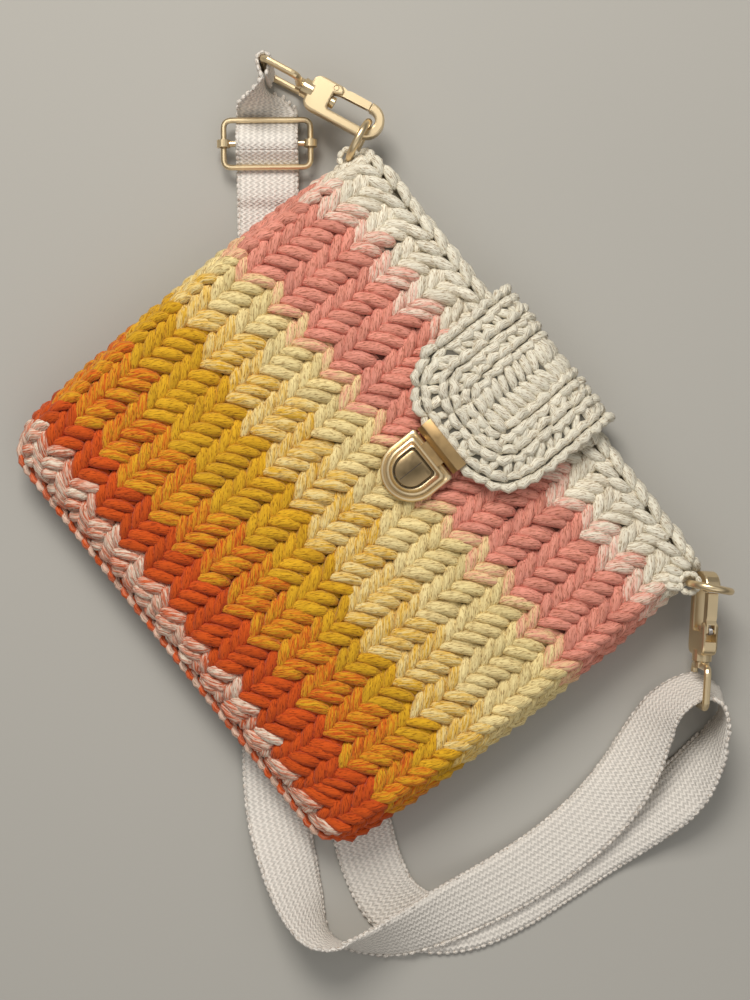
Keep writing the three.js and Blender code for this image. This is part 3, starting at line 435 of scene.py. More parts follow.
def bezier(a, b, c, count):
    """Points of a curve from a to c that bends towards b."""
    t = np.linspace(0, 1, count)[:, None]
    return (1 - t) ** 2 * np.array(a) + 2 * t * (1 - t) * np.array(b) + t ** 2 * np.array(c)


class Profile:
    """A line of points that is read by its own length."""

    def __init__(self, points):
        self.points = np.asarray(points, float)
        steps = np.linalg.norm(np.diff(self.points, axis=0), axis=1)
        self.along = np.concatenate([[0], np.cumsum(steps)])
        self.length = self.along[-1]

    def at(self, distance):
        axes = range(self.points.shape[1])
        return np.stack([np.interp(distance, self.along, self.points[:, i]) for i in axes], axis=-1)


# The pouch's surface: round the pouch by its column, and up from the bottom seam by its row

BAG_TOP, BAG_BOTTOM = 0.092, -0.0982
HALF_TOP, HALF_BOTTOM, HALF_SWELL = 0.1120, 0.1085, 0.0045
FRONT_Z = 0.030


def front_profile():
    low = bezier((BAG_BOTTOM, 0.0125), (BAG_BOTTOM, 0.030), (-0.062, 0.030), 24)
    high = bezier((0.048, 0.030), (0.070, 0.030), (0.0915, 0.0235), 16)
    return Profile(np.concatenate([low, high]))


def back_profile():
    low = bezier((BAG_BOTTOM, 0.0125), (BAG_BOTTOM, 0.0), (BAG_BOTTOM + 0.0145, 0.0), 16)
    return Profile(np.concatenate([low, [(0.0915, 0.0)]]))


class PouchSurface:
    """The outside of the pouch."""

    side = 0.0095
    low_corner, high_corner = 0.013, 0.004

    def __init__(self):
        self.front, self.back = front_profile(), back_profile()
        flat = 2 * (HALF_TOP - self.side)
        bend = math.pi * 0.5 * (self.side + 0.015)
        self.shares = np.array([flat, bend, flat, bend]) / (2 * flat + 2 * bend)
        self.around = 2 * flat + 2 * bend
        self.up = self.front.length

    def half_width(self, y):
        share = np.clip((y - BAG_BOTTOM) / (BAG_TOP - BAG_BOTTOM), 0, 1)
        half = HALF_BOTTOM + (HALF_TOP - HALF_BOTTOM) * share + HALF_SWELL * 4 * share * (1 - share)
        low = np.clip(BAG_BOTTOM + self.low_corner - y, 0, self.low_corner)
        high = np.clip(y - BAG_TOP + self.high_corner, 0, self.high_corner)
        half = half - (self.low_corner - np.sqrt(np.maximum(self.low_corner ** 2 - low ** 2, 0)))
        return half - (self.high_corner - np.sqrt(np.maximum(self.high_corner ** 2 - high ** 2, 0)))

    def point(self, column, row):
        """A place on the surface: column 0 to 1 round the pouch from the front's left, row 0 to 1 up."""
        column, row = np.mod(np.asarray(column, float), 1), np.asarray(row, float)
        f = self.front.at(row * self.front.length)
        b = self.back.at(row * self.back.length)
        f[..., 0] += np.maximum(row - 1, 0) * self.up
        b[..., 0] += np.maximum(row - 1, 0) * self.up
        s1, s2, s3, s4 = np.cumsum(self.shares)
        blend = np.select(
            [column < s1, column < s2, column < s3],
            [0 * column, (column - s1) / self.shares[1], 0 * column + 1],
            1 - (column - s3) / self.shares[3],
        )
        lean = (1 - np.cos(blend * math.pi)) / 2
        y = f[..., 0] + (b[..., 0] - f[..., 0]) * lean
        z = f[..., 1] + (b[..., 1] - f[..., 1]) * lean
        half = self.half_width(y)
        inner = half - self.side
        bulge = self.side * np.sin(blend * math.pi)
        x = np.select(
            [column < s1, column < s2, column < s3],
            [-inner + 2 * inner * column / s1, inner + bulge,
             inner - 2 * inner * (column - s2) / self.shares[2]],
            -inner - bulge,
        )
        z = np.where(lean > 0.5, np.maximum(z, under_strap(x, y)), z)
        return np.stack([x, y, z], axis=-1)

    def normal(self, column, row):
        step = 2e-3
        low, high = np.minimum(row, 1.0) - step, np.minimum(row, 1.0)
        across = self.point(column + step, high) - self.point(column - step, high)
        along = self.point(column, high) - self.point(column, low)
        made = np.cross(across, along)
        return made / np.maximum(np.linalg.norm(made, axis=-1, keepdims=True), 1e-12)


STRAP_EXITS = ((0.064, -0.095), (0.112, -0.085))
SLIDER_XY = (-0.1388, 0.0630)


def under_strap(x, y):
    """How high the two plies of strap under the pouch hold its back up."""
    height = np.zeros(np.shape(x))
    for end in STRAP_EXITS:
        along = np.array(end) - np.array(SLIDER_XY)
        along /= np.linalg.norm(along)
        aside = np.abs((x - SLIDER_XY[0]) * -along[1] + (y - SLIDER_XY[1]) * along[0])
        height = np.maximum(height, 0.0043 * (1 - smooth_step(aside, 0.0145, 0.020)))
    return height


# The bands of colour, from the bottom seam up: where each ends, and the yarns of its two plies
BANDS = (
    (-0.0855, "off_white", "orange"),
    (-0.070, "orange", "orange"),
    (-0.047, "orange", "mustard"),
    (-0.026, "mustard", "mustard"),
    (-0.002, "mustard", "cream"),
    (0.019, "cream", "cream"),
    (0.026, "cream", "coral"),
    (0.060, "coral", "coral"),
    (0.071, "coral", "off_white"),
    (1.0, "off_white", "off_white"),
)
BAND_JITTER, TONE_JITTER = 0.0012, 0.05
SECOND_PLY = np.array([0.86, 0.82, 0.78])
MARL = 0.45


def band_plies(x, y, yarns, chance):
    """The two ply colours of a strand that starts at a place on the pouch."""
    y = y + chance.normal(0, BAND_JITTER)
    # The lowest band gets narrower to the right, and the bands in the middle slope
    y += smooth_step(-y, 0.072, 0.086) * 0.075 * max(x + 0.03, 0)
    y += 0.15 * x * float(smooth_step(y, -0.050, -0.030) * (1 - smooth_step(y, -0.002, 0.016)))
    labels = next(plies for limit, *plies in BANDS if y < limit)
    first, second = (linear(getattr(yarns, label)) for label in labels)
    if labels[0] == labels[1]:
        tone = 1 + chance.normal(0, TONE_JITTER)
        return first * tone, first * tone * SECOND_PLY
    share = chance.uniform(0.1, 0.9)
    return first + (second - first) * share * MARL, second + (first - second) * (1 - share) * MARL


# Half the picture and the bag's middle in it, in pixels; the sky by its height, and the lamps
PICTURE_MIDDLE, BAG_PIXEL = (375, 500), (355, 499.5)
SKY = (1.0, 0.985, 0.96, 1)
SKY_RAMPS = ((0.25, 0.80, 0.04, 0.62), (0.88, 0.99, 1.0, 0.22))
LAMPS = (
    ("key", (-0.75, 0.35, 0.95), 0.55, 12.3),
    ("fill", (0.9, -0.3, 1.1), 1.2, 2.1),
)
LAMP_COLOUR, LAMP_AIM = (1.0, 0.965, 0.91), Vector((0, 0, 0.02))


class CROSSBODY_OT_stage(bpy.types.Operator):
    """Sets the camera, the floor and the light"""

    bl_idname = "crossbody.stage"
    bl_label = "Stage"

    def execute(self, context):
        settings = context.scene.crossbody_bag
        self.camera(context.scene, settings.stage)
        self.floor(context.scene, settings.yarns)
        self.lights(context.scene)
        context.scene.view_settings.view_transform = "Standard"
        return {"FINISHED"}

    def camera(self, scene, stage):
        data = bpy.data.cameras.new("camera")
        camera = bpy.data.objects.new("camera", data)
        scene.collection.objects.link(camera)
        scene.camera = camera
        cos, sin = math.cos(stage.turn), math.sin(stage.turn)
        right, up = Vector((cos, sin, 0)), Vector((-sin, cos, 0))
        scale = MM / stage.pixels_per_mm
        aside, above = (middle - place for middle, place in zip(PICTURE_MIDDLE, BAG_PIXEL))
        aim = right * aside * scale - up * above * scale
        aim.z = FRONT_Z + stage.camera_height
        turn = Matrix((right, up, Vector((0, 0, 1)))).transposed().to_4x4()
        camera.matrix_world = Matrix.Translation(aim) @ turn
        data.sensor_fit = "VERTICAL"
        data.angle = 2 * math.atan(PICTURE_MIDDLE[1] * scale / stage.camera_height)

    def floor(self, scene, yarns):
        work = bmesh.new()
        bmesh.ops.create_grid(work, x_segments=8, y_segments=8, size=4)
        mesh = from_bmesh("floor", work)
        floor = bpy.data.objects.new("floor", mesh)
        scene.collection.objects.link(floor)
        material, tree, shader = new_material("floor")
        cloud = add_noise(tree, object_place(tree), 3.0, 2.0)
        tint = add_mix(tree, cloud, rgba(yarns.floor, 0.96), rgba(yarns.floor, 1.04))
        feed(tree, shader, Base_Color=tint, Roughness=0.85, Specular_IOR_Level=0.2)
        mesh.materials.append(material)

    def lights(self, scene):
        world = bpy.data.worlds.new("studio")
        world.use_nodes = True
        tree = world.node_tree
        upward = add_node(tree, "TexCoord").outputs["Generated"]
        height = add_node(tree, "SeparateXYZ", in_0=upward).outputs["Z"]
        ramps = (add_range(tree, height, *limits) for limits in SKY_RAMPS)
        feed(tree, tree.nodes["Background"], Strength=add_math(tree, "MULTIPLY", *ramps), Color=SKY)
        scene.world = world
        for name, place, size, power in LAMPS:
            data = bpy.data.lights.new(name, "AREA")
            data.energy, data.size, data.color = power, size, LAMP_COLOUR
            lamp = bpy.data.objects.new(name, data)
            scene.collection.objects.link(lamp)
            lamp.location = place
            lamp.rotation_euler = (LAMP_AIM - Vector(place)).to_track_quat("-Z", "Y").to_euler()


# The strap's route, as it is laid on the frame: place, lean in degrees, and what it lies on, in mm
FRONT_BAND = (
    (-60, 1.8, 180, 1.85), (20, -60.7, 180, 1.85), (64, -95, 180, 1.85), (81, -106.6, 176, 1.5),
    (100, -115.5, 156, 0.3), (116, -121.5, 138, 0), (128, -124, 116, 0), (137.5, -121.5, 90, 0.3),
    (145, -113, 64, 0.4), (153, -97, 38, 1.9), (160, -71, 14, 2.1), (165, -45, 3, 2.1),
    (166.5, -20, -3, 2.1), (164, 3, -12, 1.7), (158.5, 20, -30, 0.7), (151, 35, -48, 0.4),
)
RIGHT_LOOP = (
    (146.3, 45, -60, 2.2), (145.4, 54, -66, 3.5), (148, 62.9, -70, 4.1),
    (156, 66.8, -78, 3.5), (163.5, 63.5, -88, 2.2), (168.5, 56, -102, 0.6),
)
BACK_BAND = (
    (173.5, 45, -124, 0), (178, 30, -147, 0), (178, 12, -166, 0), (176.5, -9, -178, 0),
    (174.5, -33, -180, 0), (171.5, -57, -181, 0), (166, -75, -181, 0), (156, -88, -181, 0),
    (142, -93, -181, 0), (128, -91, -181, 0), (112, -85, -180, 0), (60, -55, -180, 0),
    (0, -21, -180, 0), (-62, 14, -180, 0),
)
# Clearances, wire radii and places of the fittings on the frame, in mm
GAP, FLOOR_GAP = 0.35, 0.2
BAR_RADIUS, EYE_RADIUS = 1.2, 1.5
HOOK_AXIS_Z = 16.95
EYE_BAR = 48.45
RING_RADIUS = 8.5


def plan(degrees):
    angle = math.radians(degrees)
    return np.array([math.cos(angle), math.sin(angle), 0.0])


def left_of(direction):
    return np.array([-direction[1], direction[0], 0.0])


HOOK_LEFT_ALONG, HOOK_RIGHT_ALONG = plan(203), plan(-42)
LUG_LEFT = np.array([-111.0, 85.0, HOOK_AXIS_Z])
LUG_RIGHT = np.array([111.0, 85.0, HOOK_AXIS_Z + RING_RADIUS])
RING_LEFT_OUT, RING_RIGHT_OUT = plan(113), plan(40)
HOOK_LEFT = LUG_LEFT + 2 * RING_RADIUS * RING_LEFT_OUT
STRAP_ALONG = plan(-38)
STRAP_LEFT = left_of(STRAP_ALONG)
EYE_LEFT_BAR = HOOK_LEFT + EYE_BAR * HOOK_LEFT_ALONG
SLIDER_PLACE = EYE_LEFT_BAR + 30 * STRAP_ALONG
# The gate pins, in metres
PIN_LEFT, PIN_RIGHT = (-0.136361, 0.098678, 0.01695), (0.13184, 0.079477, 0.022263)
# The station past the eye where the strap is cut in two, and how softly its width turns
SPLIT_STATION, WIDTH_EASE = 5, 0.4


def carried_on(rows):
    """Rows with one more at each end, straight on."""
    return np.concatenate([[2 * rows[0] - rows[1]], rows, [2 * rows[-1] - rows[-2]]])


class StrapRoute:
    """The middle line and the width direction of the strap, in mm."""

    def __init__(self, width, thickness):
        self.width, self.thickness = width, thickness
        ply = thickness + GAP
        floor = thickness / 2 + FLOOR_GAP
        self.plies = [floor, floor + ply, floor + 2 * ply]
        self.slider_z = self.plies[2] + thickness / 2 + GAP + BAR_RADIUS
        self.bar_wrap = BAR_RADIUS + GAP + thickness / 2
        eye = self.eye(ply)
        self.split = len(eye) + SPLIT_STATION
        stations = eye + self.slider(self.over_bar(ply), -1)
        stations += self.laid(FRONT_BAND + RIGHT_LOOP + BACK_BAND) + self.slider(self.round_bar(), 1)
        self.places = np.array([s[0] for s in stations])
        self.widths = np.array([s[1] for s in stations])

    def eye(self, ply):
        """Round the left eye's bar, as distance along and to the side, and then turned flat."""
        wrap = EYE_RADIUS + GAP + self.thickness / 2
        route = [
            (6.5, ply / 2 + 0.2), (5, ply / 2 + 0.4), (3, 0.78 * wrap), (0, wrap),
            (-0.71 * wrap, 0.71 * wrap), (-wrap, 0), (-0.71 * wrap, -0.71 * wrap), (0, -wrap),
            (3, -0.78 * wrap), (6, -ply / 2 - 0.2), (8, -ply / 2), (12.5, 0),
        ]
        made = []
        for along, offset in route:
            share = float(smooth_step(along, 8, 17.5))
            lean = math.radians(90 + 90 * share)
            width = STRAP_LEFT * math.cos(lean) + np.array([0, 0, math.sin(lean)])
            place = EYE_LEFT_BAR + along * STRAP_ALONG
            place[2] = HOOK_AXIS_Z + (self.plies[2] - HOOK_AXIS_Z) * share
            made.append((place + offset * np.cross(width, STRAP_ALONG), width))
        return made

    def over_bar(self, ply):
        """Over the slider's bar, as distance along and height."""
        top, middle = self.plies[2], self.plies[1]
        peak = self.slider_z + self.bar_wrap + ply
        return [
            (-12.5, top), (-9.8, top), (-6, top + 2.9), (-3, peak - 1.1), (0, peak), (3, peak - 1.1),
            (6, top + 2.9), (9.8, top), (14, top), (22, top), (26, middle + 0.2), (29, middle),
        ]

    def round_bar(self):
        """Back under the slider's bar and round it, as distance along and height."""
        floor, middle, z, wrap = self.plies[0], self.plies[1], self.slider_z, self.bar_wrap
        return [
            (34, floor), (14, floor), (9.8, floor), (6.4, floor + 1), (3.2, z - wrap - 0.6), (0, z - wrap),
            (-0.71 * wrap, z - 0.71 * wrap), (-wrap, z), (-0.71 * wrap, z + 0.71 * wrap), (0, z + wrap),
            (2.6, z + wrap - 1.1), (6, middle + 2.4), (9.8, middle), (14, middle), (20.5, middle),
        ]

    def slider(self, route, flip):
        made = []
        for along, height in route:
            place = SLIDER_PLACE + along * STRAP_ALONG
            made.append((np.array([place[0], place[1], height]), flip * STRAP_LEFT))
        return made

    def laid(self, route):
        made = []
        for i, (x, y, lean, under) in enumerate(route):
            before, after = route[max(i - 1, 0)], route[min(i + 1, len(route) - 1)]
            along = np.array([after[0] - before[0], after[1] - before[1], 0.0])
            along /= np.linalg.norm(along)
            angle = math.radians(lean)
            height = abs(math.sin(angle)) * self.width / 2 + abs(math.cos(angle)) * self.thickness / 2
            height += FLOOR_GAP
            width = left_of(along) * math.cos(angle) + np.array([0, 0, math.sin(angle)])
            made.append((np.array([x, y, under + height]), width))
        return made

    def sample(self, per_span):
        """Places, width directions and facing directions along the whole strap, and where it splits."""
        padded, wide = carried_on(self.places), carried_on(self.widths)
        places, widths = [], []
        for i in range(len(self.places) - 1):
            p, w = padded[i:i + 4], wide[i:i + 4]
            gaps = np.sqrt(np.maximum(np.linalg.norm(np.diff(p, axis=0), axis=1), 1e-6))
            slopes = [
                (p[k] - p[k - 1]) / gaps[k - 1] - (p[k + 1] - p[k - 1]) / (gaps[k - 1] + gaps[k])
                + (p[k + 1] - p[k]) / gaps[k] for k in (1, 2)
            ]
            m1, m2 = (slope * gaps[1] for slope in slopes)
            n1, n2 = WIDTH_EASE * (w[2] - w[0]), WIDTH_EASE * (w[3] - w[1])
            for t in np.arange(per_span) / per_span:
                h = (2 * t**3 - 3 * t**2 + 1, t**3 - 2 * t**2 + t, -2 * t**3 + 3 * t**2, t**3 - t**2)
                places.append(h[0] * p[1] + h[1] * m1 + h[2] * p[2] + h[3] * m2)
                widths.append(h[0] * w[1] + h[1] * n1 + h[2] * w[2] + h[3] * n2)
        places.append(self.places[-1])
        widths.append(self.widths[-1])
        places, widths = np.array(places), np.array(widths)
        ahead = np.gradient(places, axis=0)
        ahead /= np.linalg.norm(ahead, axis=1, keepdims=True)
        level = ahead * np.array([1, 1, 0])
        size = (level ** 2).sum(1, keepdims=True)
        lean = (widths * level).sum(1, keepdims=True)
        widths = np.where(size > 0.01, widths - level * lean / np.maximum(size, 1e-6), widths)
        widths /= np.linalg.norm(widths, axis=1, keepdims=True)
        facing = np.cross(widths, ahead)
        facing /= np.linalg.norm(facing, axis=1, keepdims=True)
        return places, widths, facing, self.split * per_span


class CROSSBODY_OT_strap(bpy.types.Operator):
    """Lays the webbing strap from the left eye through the slider and round the right eye"""

    bl_idname = "crossbody.strap"
    bl_label = "Strap"
    across, span_steps = 10, 6
    route_trim, band_trim = 1.6, 1.2
    bead, bead_pitch, bead_slant, bead_margin = 0.95, 2.5, 1.35, 1.2

    def execute(self, context):
        settings = context.scene.crossbody_bag
        width, thickness = settings.sizes.strap_width / MM, settings.sizes.strap_thickness / MM
        route = StrapRoute(width - self.route_trim, thickness)
        places, widths, facing, split = route.sample(self.span_steps)
        material = webbing_material(settings.yarns.webbing)
        edge_material = yarn_material("strap_edge_yarn", 1.3)
        shade = linear(settings.yarns.webbing)
        for name, cut, bodies, reach in (
            ("strap_short", slice(0, split + 1), ("bag", "slider"), (-28, -12)),
            ("strap_long", slice(split, None), ("slider", "bag"), (12, 40)),
        ):
            line, aside, face = places[cut], widths[cut], facing[cut]
            mesh, run = self.band(name, line, aside, face, width - self.band_trim, thickness)
            piece = finish_mesh(mesh, material, None, "strap")
            edges = self.edges(line, aside, face, width, shade).mesh(name + "_edges", 5, 6, 5, 2.2)
            beads = finish_mesh(edges, edge_material, None)
            for part in (piece, beads):
                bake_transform(part)
        return {"FINISHED"}

    def band(self, name, line, aside, face, width, thickness):
        """The woven band, closed at its ends, with its own coordinates across and along."""
        steps = np.linalg.norm(np.diff(line, axis=0), axis=1)
        run = np.concatenate([[0], np.cumsum(steps)])
        work = bmesh.new()
        cloth = work.verts.layers.float_vector.new("cloth")
        share = np.linspace(-0.5, 0.5, self.across + 1)
        loop = [(s, 0.5) for s in share] + [(s, -0.5) for s in share[::-1]]
        rings = []
        for place, wide, out, far in zip(line, aside, face, run):
            ring = []
            for s, t in loop:
                taper = 1 - 0.35 * abs(2 * s) ** 8
                vert = work.verts.new((place + wide * s * width + out * t * thickness * taper) * MM)
                vert[cloth] = (s * width * MM, far * MM, 0)
                ring.append(vert)
            rings.append(close_loop(work, ring))
        skin_loops(work, rings)
        return outward_mesh(name, work), run[-1]

    def edges(self, line, aside, face, width, shade):
        """The knobbly edges: one small loop of weft after another."""
        beads = Strands()
        run = Profile(line)
        chance = np.random.default_rng(11)
        for side in (-1, 1):
            for far in np.arange(self.bead_margin, run.length - self.bead_margin, self.bead_pitch):
                k = min(int(np.searchsorted(run.along, far)), len(line) - 1)
                place, wide, out = run.at(far), aside[k], face[k]
                ahead = np.cross(out, wide)
                edge = place + wide * side * (width / 2 - 1.0)
                slant = ahead * self.bead_slant * side
                tone = shade * (1 + chance.normal(0, 0.05))
                tuck, bulge = wide * side * 0.5, wide * side * 0.25
                points = np.array([edge - slant - tuck, edge + bulge, edge + slant - tuck])
                points[:, 2] = np.maximum(points[:, 2], self.bead * 1.05)
                beads.add(*(points * MM), out, self.bead * MM, tone, tone * 0.86)
        return beads


class CROSSBODY_OT_pouch(bpy.types.Operator):
    """Works the pouch in slanted strands of yarn, with its rim, bottom cord and corner loops"""

    bl_idname = "crossbody.pouch"
    bl_label = "Pouch"

    # The shell under the strands: its depth in strand radii, its thickness, its top row and the painted shade
    # that darkens its yarn colour
    shell_depth, shell, shell_top, shell_shade = 1.55, 0.0010, 0.985, 0.22
    # A stitch: its two arms, as share of a column across, rise and bow, and the column's middle line
    arms = ((0.61, 0.0088, 0.0019), (-0.39, 0.0092, 0.0007))
    spine = 0.41
    # Where an arm starts and ends, as share of its rise, the shortest arm, and the room at seam and rim
    arm_start, arm_end, arm_least = -0.16, 1.15, 0.4
    seam_room, rim_room = 0.0012, 0.0008
    # How far ends are tucked in and middles stand out, in strand radii: upper layer and lower layer, and the
    # painted shade that darkens the lower layer's yarn
    tuck, deep_tuck, deep_crown, deep_shade = 0.9, 1.5, -0.75, 0.8
    crowns = (0.1, -0.3)
    back_margin = 0.03
    # How much arms differ: start, lean, end, radius and crown
    start_jitter, lean_jitter, end_jitter, radius_jitter, crown_jitter = 0.0006, 0.06, 0.05, 0.09, 0.15

    def execute(self, context):
        settings = context.scene.crossbody_bag
        self.yarns, self.sizes = settings.yarns, settings.sizes
        self.white = linear(self.yarns.off_white)
        self.surface = PouchSurface()
        self.chance = np.random.default_rng(3)
        yarn = yarn_material("pouch_yarn")
        self.under(material_once("yarn_gaps", painted_gap_shade_material))
        front, back, deep = self.stitches()
        for name, strands, seed, shape, slot, node in (
            ("pouch_front", front, 1, (8, 6, 2.3), "crochet", "bag_body"),
            ("pouch_back", back, 2, (8, 6, 2.3), "crochet", None),
            ("pouch_depth", deep, 3, (6, 4, 2.3), "crochet", None),
            ("pouch_rim", self.rim(), 4, (), "off_white", None),
            ("pouch_seam", self.seam(), 6, (), "crochet", None),
            ("corner_loops", self.loops(), 8, (), "off_white", None),
        ):
            finish_mesh(strands.mesh(name, seed, *shape), yarn, "bag", node)
        return {"FINISHED"}

    def white_tone(self):
        return self.white * (1 + self.chance.normal(0, 0.03))

    def under(self, material):
        """The shell under the strands, a little inside their middle line, coloured with painted shade: the
        bands' yarn darkened.
        """
        work = bmesh.new()
        bmesh.ops.create_grid(work, x_segments=120, y_segments=60, size=0.5)
        layer = work.verts.layers.float_color.new("yarn_a")
        place = np.array([v.co for v in work.verts])
        column, row = place[:, 0] + 0.5, (place[:, 1] + 0.5) * self.shell_top
        depth = self.surface.normal(column, row) * self.sizes.strand * self.shell_depth
        chance = np.random.default_rng(9)
        for vert, point in zip(work.verts, self.surface.point(column, row) - depth):
            vert.co = point
            vert.co.z = max(vert.co.z, self.shell)
            # Painted shade: the band's first ply darkened, for the shadow between the strands
            vert[layer] = (*(band_plies(point[0], point[1], self.yarns, chance)[0] * self.shell_shade), 1)
        bmesh.ops.remove_doubles(work, verts=work.verts, dist=1e-4)
        bmesh.ops.recalc_face_normals(work, faces=work.faces)
        work.normal_update()
        inner = bmesh.ops.extrude_face_region(work, geom=work.faces[:] + work.edges[:], use_keep_orig=True)
        for vert in [v for v in inner["geom"] if isinstance(v, bmesh.types.BMVert)]:
            vert.co -= vert.normal * self.shell
        finish_mesh(outward_mesh("pouch_inside", work), material, "bag")

    def lay(self, strands, ends, radius, plies, tuck, crown, bow):
        """One strand on the surface from one column and row to another, its ends tucked in."""
        (c0, r0), (c1, r1) = ends
        column = np.array([c0, (c0 + c1) / 2, c1])
        row = np.array([r0, min((r0 + r1) / 2 + bow, 1), r1])
        normals = self.surface.normal(column, row)
        depth = np.array([radius * (1 + tuck), radius * (1 - crown), radius * (1 + tuck)])
        points = self.surface.point(column, row) - normals * depth[:, None]
        points[:, 2] = np.maximum(points[:, 2], radius * 1.05)
        strands.add(*points, normals[1], radius, *plies)

    def stitches(self):
        """Columns of slanted strands: a long arm and a short arm that lean apart towards the rim."""
        front, back, deep = Strands(), Strands(), Strands()
        pitch, up = self.sizes.row_pitch, self.surface.up
        for k in range(self.sizes.columns):
            for arm, stand in zip(self.arms, self.crowns):
                for j in range(-2, int(up / pitch) + 1):
                    start = (j + (0.5 if arm[0] < 0 else 0.0)) * pitch
                    start += self.chance.normal(0, self.start_jitter)
                    self.stitch(k, arm, start, stand, (front, back, deep))
        return front, back, deep

    def stitch(self, k, arm, start, stand, layers):
        """One arm of a stitch that starts at a height in column k, and the arm under it, darkened with
        painted shade.
        """
        front, back, deep = layers
        (across, rise, bow), chance, up = arm, self.chance, self.surface.up
        count, shares = self.sizes.columns, self.surface.shares
        lean = 1.0 + chance.normal(0, self.lean_jitter)
        low, high = self.arm_start, self.arm_end + chance.normal(0, self.end_jitter)
        low += max(0, (self.seam_room - start - low * rise) / rise)
        high = min(high, (up - self.rim_room - start) / rise)
        radius = self.sizes.strand * (1 + chance.normal(0, self.radius_jitter))
        base = self.surface.point((k + self.spine) / count, np.clip((start + 0.3 * rise) / up, 0, 1))
        plies = band_plies(base[0], base[1], self.yarns, chance)
        crown = chance.uniform(-self.crown_jitter, self.crown_jitter) + stand
        if high - low < self.arm_least:
            return
        ends = [
            ((k + self.spine + across * lean * share) / count, (start + rise * share) / up)
            for share in (low, high)
        ]
        middle = (ends[0][0] + ends[1][0]) / 2
        behind = shares[0] + self.back_margin < middle < 1 - self.back_margin - shares[3]
        self.lay(back if behind else front, ends, radius, plies, self.tuck, crown, bow / up)
        shift = min(0.5 * self.sizes.row_pitch / up, self.shell_top - max(row for _, row in ends))
        ends = [(column, row + shift) for column, row in ends]
        # Painted shade: the lower layer's yarn darkened, as it lies in the upper layer's shadow
        plies = [ply * self.deep_shade for ply in plies]
        self.lay(deep, ends, radius, plies, self.deep_tuck, self.deep_crown, bow / up)

    def rim(self):
        """The chain that closes the mouth: two rows of strands that lean into each other."""
        strands = Strands()
        count = 58
        rows = (
            ((-0.0060, -0.0042, -0.0014), (-0.0016, 0.0002, -0.0012)),
            ((0.0030, 0.0020, -0.0004), (-0.0036, -0.0016, -0.0014)),
            ((0.0026, 0.0040, 0.0034), (-0.0090, -0.0070, -0.0052)),
        )
        for i in range(count):
            column = (i + np.array([0.0, 0.75, 1.5])) / count
            points, normals = self.surface.point(column, np.ones(3)), self.surface.normal(column, np.ones(3))
            for rise, out in rows:
                tone = self.white_tone()
                jitter = self.chance.normal(0, 0.0003, (3, 3))
                place = points + normals * np.array(out)[:, None] + jitter
                place[:, 1] += rise
                place[:, 2] = np.maximum(place[:, 2], self.sizes.rim_strand)
                strands.add(*place, np.array([0, 0.5, 0.85]), self.sizes.rim_strand, tone, tone * 0.86)
        return strands

    def seam(self):
        """The cord along the bottom: a pale and an orange ply twisted round each other."""
        strands = Strands()
        to_orange = linear(self.yarns.orange) - self.white
        corner = self.surface.low_corner
        straight = HALF_BOTTOM - corner - 0.002
        pitch, twist, radius, height = 0.0043, 0.00125, 0.00145, 0.0140
        pale_part, orange_part, part_step = 0.3, 0.85, 0.15
        reach = np.array([-0.4, 0.5, 1.4])
        for i, x in enumerate(np.arange(-0.104, 0.100, pitch)):
            xs = x + reach * pitch
            past = np.clip(np.abs(xs) - straight, 0, corner * 0.95)
            lows = BAG_BOTTOM + 0.0006 + corner - np.sqrt(corner ** 2 - past ** 2)
            for ply in range(2):
                tone = 1 + self.chance.normal(0, 0.05)
                pale = ply == 0 and self.chance.uniform() < 1.3 - 5 * x
                part = pale_part if pale else orange_part
                plies = ((self.white + to_orange * share) * tone for share in (part, part + part_step))
                angle = math.pi * (i + ply - 0.25 + reach)
                sides, heights = -twist * np.sin(angle), height + twist * np.cos(angle)
                out = np.array([0, -math.sin(angle[1]), math.cos(angle[1])])
                strands.add(*np.stack([xs, lows + sides, heights], axis=1), out, radius, *plies)
        return strands

    def loops(self):
        """The loop of yarn at each top corner that the ring goes through, and its three roots."""
        strands = Strands()
        up = np.array([0, 0, 1.0])
        loop_radius, loop_strand, root_strand, second_ply = 3.9, 1.35 * MM, 1.9 * MM, 0.88
        heights = np.array([[0, 0, -0.5], [0, 0, 0.2], [0, 0, 0.5]])
        for lug, side in ((LUG_LEFT, -1), (LUG_RIGHT, 1)):
            for step in range(8):
                angles = math.pi / 4 * (step + np.array([-0.2, 0.5, 1.2]))
                ring = np.stack([np.cos(angles), np.sin(angles), 0 * angles], axis=1) * loop_radius
                tone = self.white_tone()
                strands.add(*((lug + ring + heights) * MM), up, loop_strand, tone, tone * second_ply)
            root = np.array([side * 101.0, 78.0, min(lug[2], 22.0)])
            for swing in (-3.4, 0, 3.4):
                across = np.array([-side * 0.7, 0.7, 0]) * swing
                start, end = root + across, lug + across * 0.9 - np.array([side * 2.0, 1.6, 0])
                middle = (start + end) / 2 + np.array([0, 0, 1.2])
                tone = self.white_tone()
                points = (point * MM for point in (start, middle, end))
                strands.add(*points, up, root_strand, tone, tone * second_ply)
        return strands


